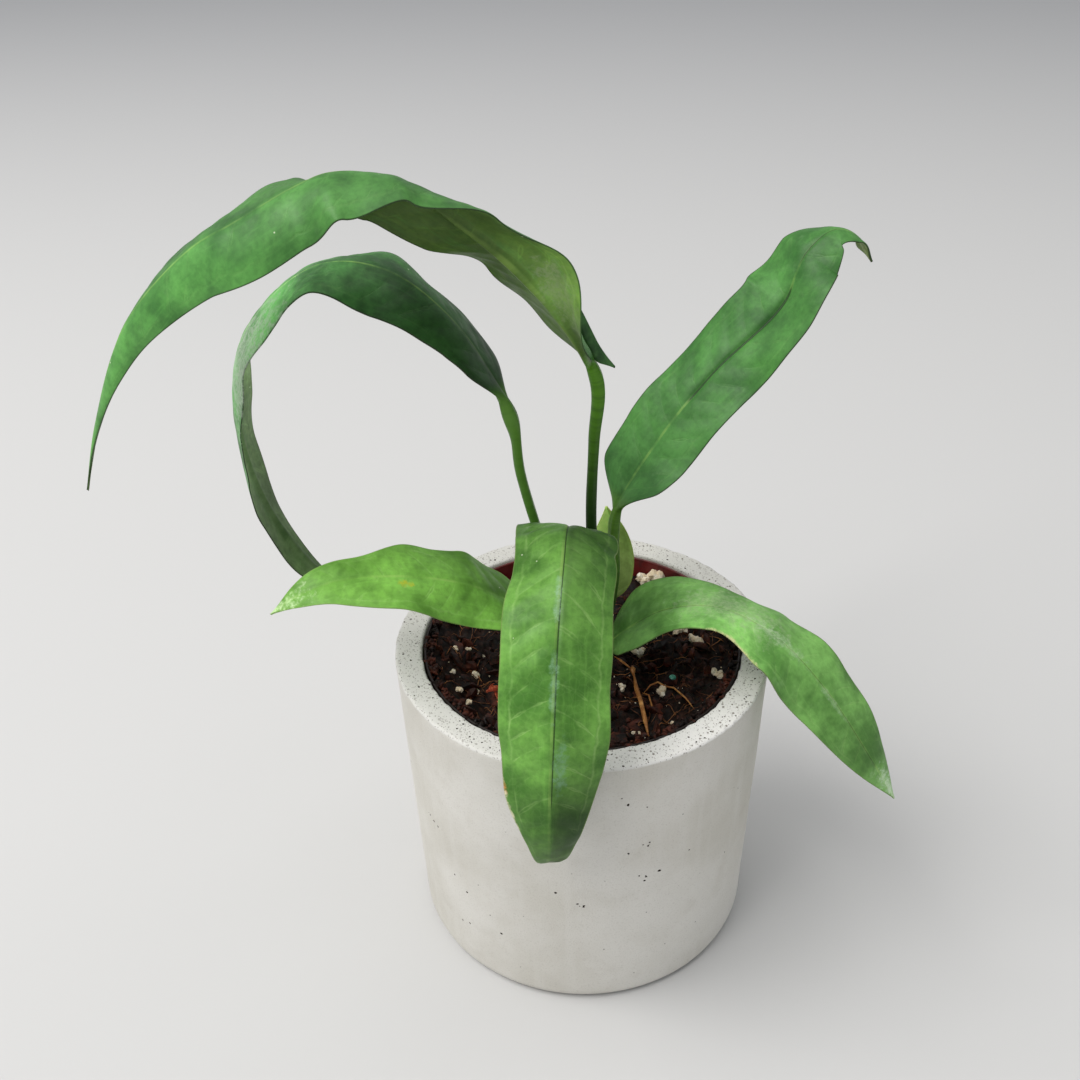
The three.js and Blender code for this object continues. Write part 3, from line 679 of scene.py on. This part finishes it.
def leaf_material(name, leaf, seed, underside):
    """The face of a leaf: green in soft patches, with its veins, midrib, margin and specks; painted shade in
    its creases, painted light and shade from its tones, and painted sheen patches.
    """
    base, light, under = leaf.greens
    shader = Shader(name, base, 0.45, 0.22)
    keys = ("across", "rib_mm", "edge_mm", "from_base", "share", "blade", "crease")
    across, rib, edge, along, share, blade, crease = map(shader.value_of, keys)
    spot = shader.vector(rib, along, 7.3 * seed)
    cloud = shader.smooth(shader.noise(spot, 22, 4, 0.6), 0.34, 0.66)
    grain = shader.noise(spot, 2.4, 4, 0.65)
    streaks = shader.noise(shader.vector(rib, shader.product(along, 0.12), seed), 2.2, 3, 0.6)
    if underside:
        shader.color = shader.mix(cloud, darker(under, 0.8), under)
        vein_color, vein_strength = tuple(min(255, int(c * 1.3)) for c in under), 0.25
        (rib_color, rib_width), rib_strength = leaf.under_rib, 0.75
    else:
        shader.color = shader.mix(cloud, darker(base, 0.86), light)
        vein_color, vein_strength = LEAF_TINTS.vein, 0.5 * leaf.veins
        rib_color, rib_width, rib_strength = LEAF_TINTS.rib, (0.25, 0.75), leaf.rib
    shader.paint(darker(base, 0.7), shader.smooth(grain, 0.35, 0.75, 0, 0.35))
    shader.paint(darker(light, 1.18), shader.smooth(streaks, 0.5, 0.8, 0, 0.22))
    net = shader.smooth(shader.cells(spot, 3.0, "DISTANCE_TO_EDGE"), 0.0, 0.1, 1.0, 0.0)
    shader.paint(vein_color, net, 0.08 * vein_strength + 0.01)
    veins, fade = leaf_veins(shader, spot, across)
    shader.paint(vein_color, veins, vein_strength)
    beside = shader.size(shader.math("SUBTRACT", rib, leaf.rib_offset or 0))
    midrib = shader.product(shader.smooth(beside, *rib_width, rib_strength, 0.0), fade)
    if not underside and leaf.rib_offset is None:
        midrib = shader.product(midrib, shader.smooth(crease, 0.3, 0.6, 1.0, 0.2))
    shader.paint(rib_color, midrib)
    # Painted shade beside the crease, and a dark furrow line of painted shade in it.
    shade = shader.smooth(shader.size(shader.math("SUBTRACT", rib, 1.2)), 0.2, 2.6, 0.3, 0)
    shader.paint(darker(base, 0.55), shade, crease)
    furrow_shade = shader.product(shader.smooth(shader.size(rib), 0.1, 0.6, 1.0, 0.0), crease)
    shader.paint(darker(base, 0.45), shader.smooth(furrow_shade, 0.05, 0.6, 0, 0.8))
    bloom = shader.smooth(shader.noise(spot, 9, 5, 0.7), 0.58, 0.82, 0, 0.14)
    shader.paint(LEAF_TINTS.under_bloom if underside else LEAF_TINTS.bloom, bloom)
    shader.paint(LEAF_TINTS.speck, shader.dots(spot, 5.5, 0.32, 0.22), 0.8)
    # Multiplied by the tone: mostly painted light and shade, partly the leaf's own tone.
    tone = shader.value_of("tone")
    shader.color = shader.mix(1.0, shader.color, shader.vector(tone, tone, tone), "MULTIPLY")
    shader.paint(leaf.margin, shader.smooth(edge, 0.1, 0.55, 0.75, 0.0))
    leaf_marks_and_sheens(shader, leaf, spot, share, across)
    # The petiole is darker away from its blade, towards its foot: painted shade under the leaves.
    low, high = leaf.stems
    stem = shader.mix(shader.smooth(along, -70, -4), low, high)
    stem = shader.mix(shader.smooth(grain, 0.4, 0.7, 0, 0.4), stem, darker(low, 0.8))
    shader.set("Base Color", shader.mix(shader.smooth(blade, 0.15, 0.75), stem, shader.color))
    rough = shader.smooth(shader.noise(spot, 6, 4, 0.6), 0.3, 0.7, 0.36, 0.52)
    shader.set("Roughness", shader.math("ADD", rough, 0.1) if underside else rough)
    height = shader.math("SUBTRACT", shader.product(grain, 0.5), shader.product(veins, blade))
    shader.bump(height, 0.12, 0.5)
    return shader.material


def build_leaves():
    for seed, (name, leaf) in enumerate(LEAVES.items(), 1):
        materials = [
            leaf_material(f"{name}_{face}", leaf, seed, face == "under") for face in ("upper", "under")
        ]
        piece = leaf_piece(f"{name}_blade", leaf, seed, materials)
        finish_piece(piece, "young_leaf" if name == "leaf_young" else "leaf", name)
    build_ear()


# The folded ear at the base of the tall leaf's blade, as points on its left and right edges
EAR = Table(
    rows=25, columns=9, cup=1.1,
    edges=[
        ((-1.0, -0.6, 280.0), (-0.4, 0, 279.8)), ((-1.4, -0.8, 275.5), (1.6, 1, 275.2)),
        ((-0.4, -0.8, 270.6), (3.6, 1.4, 270.6)), ((2.6, -0.6, 264.0), (6.6, 1.4, 264.2)),
        ((5.8, -0.2, 258.8), (9.6, 1, 259.6)), ((11.4, 0.4, 256.8), (12.2, 0.6, 256.4)),
    ],
)


def build_ear():
    rows = np.array(EAR.edges, float)
    t = np.linspace(0, 1, EAR.rows)
    left, right = spine_points(rows[:, 0], t), spine_points(rows[:, 1], t)
    share = np.linspace(0, 1, EAR.columns)
    sheet = left[:, None] + (right - left)[:, None] * share[:, None]
    sheet[..., 1] -= EAR.cup * np.sin(np.pi * share)
    back = sheet + np.array([0, BLADE.thickness, 0])
    points = np.concatenate([sheet[:, ::-1], back], 1).reshape(-1, 3)
    shader = Shader("leaf_ear", (50, 88, 44), 0.5, 0.3)
    shade = shader.smooth(shader.noise(shader.place(), 4), 0.35, 0.65)
    shader.set("Base Color", shader.mix(shade, (40, 76, 36), (62, 104, 52)))
    faces = capped(EAR.rows, 2 * EAR.columns)
    finish_piece(mesh_piece("leaf_tall_ear", points, faces, [shader.material]), "leaf")


# Pots


def arc(radius, x, z, start, end, steps):
    angles = np.radians(np.linspace(start, end, steps + 1))
    return [(x + radius * math.cos(a), z + radius * math.sin(a)) for a in angles]


def spaced(outline, step):
    """The outline with extra points so that none are further apart than step."""
    points = [outline[0]]
    for a, b in zip(outline, outline[1:]):
        count = max(1, math.ceil(math.dist(a, b) / step))
        for i in range(1, count + 1):
            points.append((a[0] + (b[0] - a[0]) * i / count, a[1] + (b[1] - a[1]) * i / count))
    return points


def turned(name, outline, segments, materials, shift=None):
    """A body turned about Z. The outline runs from the axis up the outside and back to the axis."""
    body = np.array(outline[1:-1])
    angles = np.linspace(0, 2 * np.pi, segments, endpoint=False)
    x = body[:, :1] * np.cos(angles)
    y = body[:, :1] * np.sin(angles)
    z = body[:, 1:] * np.ones(segments)
    points = np.stack([x, y, z], 2).reshape(-1, 3)
    if shift:
        points = np.array([shift(*point) for point in points])
    points = np.vstack([points, [0, 0, outline[0][1]], [0, 0, outline[-1][1]]])
    return mesh_piece(name, points, turned_faces(len(body), segments), materials)


def carve(piece, cutters):
    """Cuts the cutters out of a piece."""
    cut = piece.modifiers.new("cut", "BOOLEAN")
    cut.object = cutters
    cut.operation = "DIFFERENCE"
    cut.solver = "MANIFOLD"
    mesh = bpy.data.meshes.new_from_object(piece.evaluated_get(bpy.context.evaluated_depsgraph_get()))
    piece.modifiers.clear()
    piece.data = mesh
    bpy.data.objects.remove(cutters)


PITS = Table(
    seed=11, wall=46, wall_heights=(8, 128), wall_sizes=(0.25, 0.7), clusters=16, in_cluster=4,
    cluster_heights=(20, 125), cluster_spread=(0.02, 1.2), cluster_sizes=(0.2, 0.55), rim=150,
    rim_reach=0.46, rim_sizes=(0.2, 0.5),
)


def pit_cutters(material):
    """Small hollows that air bubbles left in the cast wall and rim."""
    draw = np.random.default_rng(PITS.seed)
    spots = []
    for _ in range(PITS.wall):
        angle = draw.uniform(0, 2 * np.pi)
        spots.append((angle, draw.uniform(*PITS.wall_heights), draw.uniform(*PITS.wall_sizes)))
    turn_spread, rise_spread = PITS.cluster_spread
    for _ in range(PITS.clusters):
        angle, z = draw.uniform(0, 2 * np.pi), draw.uniform(*PITS.cluster_heights)
        for _ in range(PITS.in_cluster):
            near = (angle + draw.normal(0, turn_spread), z + draw.normal(0, rise_spread))
            spots.append((*near, draw.uniform(*PITS.cluster_sizes)))
    shape = bmesh.new()
    for angle, z, size in spots:
        radius = COVER.base_radius + (COVER.rim_radius - COVER.base_radius) * z / COVER.height
        add_lump(shape, round_place(angle, radius, z), (size * 1.4, size, size), draw, 1)
    middle = COVER.rim_radius - COVER.wall / 2
    for _ in range(PITS.rim):
        angle = draw.uniform(0, 2 * np.pi)
        radius = middle + draw.uniform(-PITS.rim_reach, PITS.rim_reach) * COVER.wall
        size = draw.uniform(*PITS.rim_sizes)
        add_lump(shape, round_place(angle, radius, COVER.height), (size * 1.3, size, size), draw, 1)
    return bmesh_piece("pit_cutters", shape, [material])


def concrete_material():
    """Cast concrete: warm grey, clouded, with pale vertical streaks, sand grain, pinholes darkened with
    painted shade, and a pale rim with painted light towards the right and front.
    """
    shader = Shader("cast_concrete", (212, 210, 203), 0.85, 0.25)
    place = shader.place()
    clouds = shader.smooth(shader.noise(place, 55, 4, 0.6), 0.3, 0.7)
    shader.color = shader.mix(clouds, (212, 209, 200), (228, 226, 220))
    streaks = shader.noise(shader.place((1, 1, 0.05)), 5, 3, 0.55)
    shader.paint((226, 224, 218), shader.smooth(streaks, 0.45, 0.75, 0, 0.4))
    stains = shader.noise(place, 19, 5, 0.65)
    shader.paint((188, 182, 170), shader.smooth(stains, 0.55, 0.8, 0, 0.3))
    sand = shader.noise(place, 0.7, 2, 0.6)
    shader.paint((170, 165, 155), shader.smooth(sand, 0.5, 0.8, 0, 0.3))
    x, y, z = shader.axes(place)
    # The rim is paler than the wall, its own colour, and paler towards the right and front as painted light
    # that makes up for the leaves' shadows on it.
    rim = shader.smooth(z, COVER.height - 1.6, COVER.height - 0.6)
    right = shader.smooth(x, -45, 40, 0.5, 1.0)
    front = shader.smooth(y, 50, -50)
    shader.paint(shader.mix(shader.product(right, front), (214, 213, 208), (244, 243, 240)), rim, 0.9)
    fine = shader.product(shader.dots(place, 0.7, 0.26, 0.75), 0.6)
    coarse = shader.product(shader.dots(place, 1.7, 0.42, 0.7), right)
    grains = shader.product(shader.math("MAXIMUM", fine, coarse), rim)
    shader.paint((92, 80, 66), grains, 0.8)
    # The pinholes are painted dark: painted shade in the small hollows.
    pinholes = shader.dots(place, 4.2, 0.28, 0.2)
    shader.paint((78, 70, 62), pinholes, 0.7)
    shader.set("Base Color", shader.color)
    relief = shader.math("SUBTRACT", sand, shader.math("ADD", pinholes, grains))
    shader.bump(relief, 0.35, 0.35)
    return shader.material


def build_cover_pot():
    height, wall, rim = COVER.height, COVER.wall, COVER.rim_radius
    base, turn, lip, mouth = COVER.base_radius, COVER.base_round, COVER.lip_round, rim - wall
    outline = [
        (0, 0), (base - turn, 0), *arc(turn, base - turn, turn, -90, 0, 8)[1:],
        *arc(lip, rim - lip, height - lip, 0, 90, 5), *arc(lip, mouth + lip, height - lip, 90, 180, 5),
        (COVER.cavity_foot, COVER.floor), (0, COVER.floor),
    ]

    def uneven(x, y, z):
        radius = math.hypot(x, y)
        swell = 0.16 * noise.fractal((x / 26, y / 26, z / 34), 1.0, 2.0, 3)
        lip_share = max(0.0, 1 - abs(z - height) / 2)
        chips = lip_share * 0.6 * noise.fractal((x / 3.2, y / 3.2, 3.1), 0.8, 2.0, 3)
        rise = lip_share * 0.25 * noise.noise((x / 9, y / 9, 7.7))
        scale = (radius + swell + chips * (1 if radius > mouth + wall / 2 else -1)) / radius
        return (x * scale, y * scale, z + rise if z > 0 else z)

    # The pits' insides are painted dark: painted shade in the hollows.
    pit = Shader("concrete_pit_shade", (70, 64, 56), 0.95, 0.1).material
    pot = turned("cover_pot_concrete", spaced(outline, 2.2), 300, [concrete_material(), pit], uneven)
    carve(pot, pit_cutters(pit))
    pot.data.set_sharp_from_angle(angle=math.radians(40))
    finish_piece(pot, "concrete", "cover_pot")


def grow_inner_radius(z):
    low = GROW.foot + GROW.floor
    share = (z - low) / (GROW.top - low)
    foot, mouth = GROW.foot_radius - GROW.wall, GROW.rim_radius - GROW.roll_out - GROW.wall
    return foot + (mouth - foot) * share


def build_grow_pot():
    shader = Shader("maroon_plastic", (92, 26, 26), 0.42, 0.45)
    place = shader.place()
    # Near black at the front and sides, maroon at the back: dirt and painted shade inside the cover pot.
    back = shader.smooth(shader.axes(place)[1], 25, 45)
    color = shader.mix(back, (26, 13, 10), (98, 24, 24))
    soiled = shader.smooth(shader.noise(place, 7, 4, 0.65), 0.45, 0.7, 0, 0.7)
    shader.set("Base Color", shader.mix(soiled, color, (30, 15, 12)))
    shader.set("Roughness", shader.smooth(shader.noise(place, 3), 0.3, 0.7, 0.34, 0.6))
    shader.bump(shader.noise(place, 1.2, 2), 0.1, 0.3)
    top, rim, wall = GROW.top, GROW.rim_radius, GROW.wall
    foot, floor, roll = GROW.foot, GROW.floor, GROW.roll_depth
    round_lip = arc(wall / 2, rim - wall / 2, top - wall / 2, 0, 180, 6)
    outline = [
        (0, foot), (GROW.foot_radius, foot), (grow_inner_radius(top - roll) + wall, top - roll),
        (rim, top - roll + GROW.roll_out), *round_lip,
        (grow_inner_radius(foot + floor), foot + floor), (0, foot + floor),
    ]
    pot = turned("nursery_pot_shell", spaced(outline, 6), 160, [shader.material])
    holes = bmesh.new()
    for i in range(GROW.drain_holes):
        angle = 2 * math.pi * i / GROW.drain_holes
        place = Vector(round_place(angle, GROW.drain_ring, foot + floor / 2)) * MM
        radius = GROW.drain_radius * MM
        bmesh.ops.create_cone(
            holes, cap_ends=True, segments=32, radius1=radius, radius2=radius, depth=3 * floor * MM,
            matrix=Matrix.Translation(place),
        )
    carve(pot, bmesh_piece("drain_cutters", holes, []))
    pot.data.set_sharp_from_angle(angle=math.radians(35))
    finish_piece(pot, "nursery_plastic", "grow_pot")


# Potting mix


def mix_height(x, y):
    share = math.hypot(x, y) / grow_inner_radius(MIX.surface)
    bumps = sum(height * math.sin(wx * x + wy * y + shift) for height, wx, wy, shift in MIX_WAVES)
    back = float(smoothstep(y, *MIX.back))
    rise = MIX.edge_rise + (MIX.back_rise - MIX.edge_rise) * back
    return MIX.surface + bumps * (1 - min(share, 1) ** 6) + rise * share**6


CRUMBS = Table(clods=(2.0, 8), lumps=(1.6, 4.2), sink=0.6, calm_edge=0.6)


def crumb_height(x, y):
    """The mix with its clods and crumbs."""
    share = math.hypot(x, y) / grow_inner_radius(MIX.surface)
    clod_height, clod_size = CRUMBS.clods
    lump_height, lump_size = CRUMBS.lumps
    clods = clod_height * noise.fractal((x / clod_size, y / clod_size, 1.3), 0.7, 2.1, 5)
    lumps = lump_height * abs(noise.noise((x / lump_size, y / lump_size, 6.1)))
    return mix_height(x, y) + (clods + lumps - CRUMBS.sink) * (1 - CRUMBS.calm_edge * min(share, 1) ** 8)


# Dark and light colour, roughness, specular level and the size of the mottling
MIX_LOOKS = {
    "moist_mix": ((9, 6, 5), (56, 30, 20), 0.8, 0.2, 3),
    "bark_chips": ((18, 10, 8), (104, 50, 34), 0.75, 0.25, 9),
    "perlite_grains": ((226, 206, 176), (255, 252, 240), 0.95, 0.15, 2.5),
    "root_fibres": ((70, 36, 20), (182, 122, 72), 0.7, 0.3, 9),
    "straw_stalk": ((154, 96, 46), (226, 170, 100), 0.6, 0.35, 3),
    "red_coir_chip": ((140, 54, 34), (222, 122, 88), 0.9, 0.15, 1.4),
    "feed_granule": ((80, 164, 144), (150, 214, 196), 0.5, 0.4, 1),
}


def mix_material(name):
    dark, light, roughness, specular, size = MIX_LOOKS[name]
    shader = Shader(name, dark, roughness, specular)
    place = shader.place()
    share = shader.smooth(shader.noise(place, size, 5, 0.7), 0.4, 0.75)
    shader.set("Base Color", shader.mix(share, dark, light))
    gloss = shader.noise(place, size * 0.8)
    shader.set("Roughness", shader.smooth(gloss, 0.35, 0.65, roughness - 0.25, roughness))
    shader.bump(shader.noise(place, size / 3, 4, 0.7), 0.4, 0.5)
    return shader.material


def finish_lumps(name, shape, smooth=False):
    finish_piece(bmesh_piece(name, shape, [mix_material(name)], smooth), "potting_mix")


def build_mix_bed():
    segments, count = 280, 110
    edge = grow_inner_radius(MIX.surface) - MIX.wall_clear
    foot = grow_inner_radius(MIX.low) - MIX.wall_clear
    angles = np.linspace(0, -2 * np.pi, segments, endpoint=False)
    points = []
    for radius in edge * np.linspace(1 / count, 1, count):
        for x, y, _ in (round_place(angle, radius, 0) for angle in angles):
            points.append((x, y, crumb_height(x, y)))
    points += [round_place(angle, foot, MIX.low) for angle in angles]
    points += [(0, 0, crumb_height(0, 0)), (0, 0, MIX.low)]
    faces = turned_faces(count + 1, segments)
    bed = mesh_piece("potting_mix_bed", points, faces, [mix_material("moist_mix")])
    finish_piece(bed, "potting_mix", "potting_mix")


SCATTER = Table(seed=5, inner=12, outer=58)
BARK = Table(
    count=560, least=1, spread=4.6, rarity=2.2, widths=(0.4, 0.8), depths=(0.2, 0.5), lift=0.2, jitter=0.3,
)
EDGE_CRUMBS = Table(
    count=640, angles=(-3.4, 0.5), radii=(59.4, 63.2), heights=(131.6, 134), sizes=(0.7, 1.7),
)
PERLITE = Table(
    count=10, sizes=(1.6, 3.2), lift=0.25, lumps=5, lump_radii=(0.2, 0.42), lump_spread=0.2,
    squash=(1, 1, 0.4), jitter=0.22, specks=170, speck_sizes=(0.15, 0.5),
    # The grains that the photograph shows, as x, y and size
    grains=[
        (23, 4, 5), (47, 9, 6), (42, 19, 5), (32, -21, 4.5), (16, -18, 3), (21, -47, 3.2), (54, -14, 4),
        (27, 50, 6.5), (32, 50.5, 8), (-52, 5, 3), (-42, -10, 3.4), (-48, -23, 3), (-44, -31, 3),
    ],
)
FIBRES = Table(
    count=460, steps=8, lengths=(4, 15), bends=(-1.5, 1.5), radii=(0.08, 0.22), hump=1.2, sink=0.2, past=2,
)
# Each stalk's points, as x, y and the rise above the mix, and its radius
STALKS = [
    ([(20.5, -11, 3.4), (21.5, -20, 3.6), (22.7, -30, 3.4), (24, -41, 2.8), (25, -50, 0.4)], 0.9),
    ([(20.1, -9, 3.4), (20.4, -11, 3.5), (20.8, -14, 3.6)], 1.15),
    ([(13, -2, 1.6), (15.5, -5, 3.2), (18, -8, 3.2), (20.3, -11, 3.2)], 0.45),
    ([(24, -21, 0.5), (27, -19, 2.6), (30, -18, 2.8), (33, -20, 2.4), (36, -23, 2.4), (40, -30, 2.2),
      (43, -36, 0.5)], 0.35),
    ([(23.5, -24, 2.4), (26, -26, 2.8), (27, -31, 2.6), (26.4, -36, 0.8)], 0.35),
]
RED_CHIP = Table(place=(-34.5, -23.5), lumps=[(0, 0, 3.4), (1.5, -3.2, 2.8), (-1.2, 2.8, 2.2), (2.2, -6, 2)])
GRANULE = Table(place=(36, -16), lift=2.2, radii=(1.7, 1.2, 1.1))


def somewhere(draw):
    angle = draw.uniform(0, 2 * np.pi)
    spread = draw.uniform((SCATTER.inner / SCATTER.outer) ** 2, 1)
    return round_place(angle, SCATTER.outer * math.sqrt(spread), 0)[:2]


def build_bark(draw):
    bark = bmesh.new()
    for _ in range(BARK.count):
        x, y = somewhere(draw)
        size = BARK.least + BARK.spread * draw.random() ** BARK.rarity
        radii = (size, size * draw.uniform(*BARK.widths), size * draw.uniform(*BARK.depths))
        place = (x, y, crumb_height(x, y) + BARK.lift * radii[2])
        add_lump(bark, place, radii, draw, 1, BARK.jitter)
    for _ in range(EDGE_CRUMBS.count):
        angle, radius = draw.uniform(*EDGE_CRUMBS.angles), draw.uniform(*EDGE_CRUMBS.radii)
        size = draw.uniform(*EDGE_CRUMBS.sizes)
        place = round_place(angle, radius, draw.uniform(*EDGE_CRUMBS.heights))
        add_lump(bark, place, (size, size * 0.7, size * 0.5), draw, 1, BARK.jitter)
    finish_lumps("bark_chips", bark)


def build_perlite(draw):
    perlite = bmesh.new()
    more = [(*somewhere(draw), draw.uniform(*PERLITE.sizes)) for _ in range(PERLITE.count)]
    for x, y, size in PERLITE.grains + more:
        middle = np.array([x, y, crumb_height(x, y) + PERLITE.lift * size])
        for _ in range(PERLITE.lumps):
            radii = size * draw.uniform(*PERLITE.lump_radii, 3)
            place = middle + draw.normal(0, PERLITE.lump_spread, 3) * size * PERLITE.squash
            add_lump(perlite, place, radii, draw, 2, PERLITE.jitter)
    for _ in range(PERLITE.specks):
        x, y = somewhere(draw)
        size = draw.uniform(*PERLITE.speck_sizes)
        add_lump(perlite, (x, y, crumb_height(x, y) + 0.3), (size, size * 0.8, size * 0.7), draw, 1, 0.2)
    finish_lumps("perlite_grains", perlite)


def build_fibres(draw):
    fibres = []
    for _ in range(FIBRES.count):
        x, y = somewhere(draw)
        angle = draw.uniform(0, 2 * np.pi)
        stride = draw.uniform(*FIBRES.lengths) / (FIBRES.steps - 1)
        turn = draw.uniform(*FIBRES.bends) / (FIBRES.steps - 1)
        path = []
        for step in np.linspace(0, 1, FIBRES.steps):
            rise = FIBRES.hump * math.sin(math.pi * step) - FIBRES.sink
            path.append((x, y, crumb_height(x, y) + rise))
            x += stride * math.cos(angle)
            y += stride * math.sin(angle)
            angle += turn
        if all(math.hypot(px, py) < SCATTER.outer + FIBRES.past for px, py, _ in path):
            fibres.append((path, draw.uniform(*FIBRES.radii)))
    finish_piece(tubes("root_fibres", fibres, mix_material("root_fibres"), 5), "potting_mix")


def build_stalk():
    stalks = []
    for points, radius in STALKS:
        stalks.append(([(x, y, mix_height(x, y) + lift) for x, y, lift in points], radius))
    finish_piece(tubes("straw_stalk", stalks, mix_material("straw_stalk"), 10), "potting_mix")


def build_red_chip(draw):
    chip = bmesh.new()
    for dx, dy, size in RED_CHIP.lumps:
        x, y = RED_CHIP.place[0] + dx, RED_CHIP.place[1] + dy
        place = (x, y, crumb_height(x, y) + 0.6 * size)
        add_lump(chip, place, (size, size * 0.6, size * 0.5), draw, 3, 0.12)
    finish_lumps("red_coir_chip", chip)


def build_granule(draw):
    granule = bmesh.new()
    x, y = GRANULE.place
    add_lump(granule, (x, y, crumb_height(x, y) + GRANULE.lift), GRANULE.radii, draw, 2, 0.12)
    finish_lumps("feed_granule", granule, smooth=True)


def build_bits():
    draw = np.random.default_rng(SCATTER.seed)
    build_bark(draw)
    build_perlite(draw)
    build_fibres(draw)
    build_stalk()
    build_red_chip(draw)
    build_granule(draw)


def build_crown():
    shader = Shader("crown_skin", (92, 100, 52), 0.6, 0.3)
    place = shader.place()
    scars = shader.smooth(shader.noise(shader.place((1, 1, 4)), 5, 4, 0.6), 0.42, 0.62)
    shader.set("Base Color", shader.mix(scars, (104, 112, 58), (84, 60, 36)))
    shader.bump(shader.noise(place, 1.5, 4, 0.6), 0.5, 0.6)

    def knobbly(x, y, z):
        swell = 1 + 0.05 * math.sin(z * 2.4) + 0.08 * noise.noise((x / 3, y / 3, z / 4))
        return (x * swell + CROWN.x, y * swell + CROWN.y, z)

    crown = turned("crown_stem", spaced(CROWN_OUTLINE, 0.8), 64, [shader.material], knobbly)
    finish_piece(crown, "stem", "crown")


# Floor, light and camera


# The floor's near and far colours paint the falloff of the light.
FLOOR = Table(half=9000, near=(206, 206, 206), far=(174, 175, 178), fade=(350, 2300))
SKY = Table(color=(0.96, 0.98, 1.0, 1), strength=0.41)
# Each softbox's place, width, height and power in watts
SOFTBOXES = {
    "key_softbox": ((-1440, -520, 2440), 2500, 1400, 67),
    "top_softbox": ((200, 300, 2900), 2400, 2400, 22),
}
SOFTBOX = Table(aim=(0, 0, 100), color=(1, 0.98, 0.95))


def build_stage():
    shader = Shader("pale_floor", (224, 224, 223), 0.9, 0.1)
    # Darker towards the far end: painted falloff of the light.
    far = shader.smooth(shader.axes(shader.place())[1], *FLOOR.fade)
    shader.set("Base Color", shader.mix(far, FLOOR.near, FLOOR.far))
    half = FLOOR.half
    corners = [(-half, -half, 0), (half, -half, 0), (half, half, 0), (-half, half, 0)]
    floor = mesh_piece("floor", corners, [(0, 1, 2, 3)], [shader.material])
    world = bpy.data.worlds.new("studio")
    bpy.context.scene.world = world
    world.use_nodes = True
    sky = world.node_tree.nodes["Background"]
    sky.inputs["Color"].default_value = SKY.color
    sky.inputs["Strength"].default_value = SKY.strength
    for name, (place, width, height, power) in SOFTBOXES.items():
        lamp = bpy.data.lights.new(name, "AREA")
        lamp.shape = "RECTANGLE"
        lamp.size = width * MM
        lamp.size_y = height * MM
        lamp.energy = power
        lamp.color = SOFTBOX.color
        softbox = bpy.data.objects.new(name, lamp)
        softbox.location = Vector(place) * MM
        way = Vector(SOFTBOX.aim) - Vector(place)
        softbox.rotation_euler = way.to_track_quat("-Z", "Y").to_euler()
        bpy.context.scene.collection.objects.link(softbox)
    bpy.context.scene.view_settings.view_transform = "Standard"


def build_camera():
    yaw, pitch, roll = map(math.radians, (CAMERA.yaw, CAMERA.pitch, CAMERA.roll))
    forward = Vector((math.sin(yaw) * math.cos(pitch), math.cos(yaw) * math.cos(pitch), -math.sin(pitch)))
    level = forward.cross(Vector((0, 0, 1))).normalized()
    up = level.cross(forward)
    right = level * math.cos(roll) + up * math.sin(roll)
    top = up * math.cos(roll) - level * math.sin(roll)
    lens = bpy.data.cameras.new("camera")
    lens.lens = CAMERA.lens
    lens.sensor_width = CAMERA.sensor
    lens.clip_start = CAMERA.clip_start * MM
    camera = bpy.data.objects.new("camera", lens)
    camera.matrix_world = Matrix((right, top, -forward)).transposed().to_4x4()
    camera.location = Vector(CAMERA.place) * MM
    bpy.context.scene.collection.objects.link(camera)
    bpy.context.scene.camera = camera


build_camera()
build_stage()
build_cover_pot()
build_grow_pot()
build_mix_bed()
build_bits()
build_crown()
build_leaves()
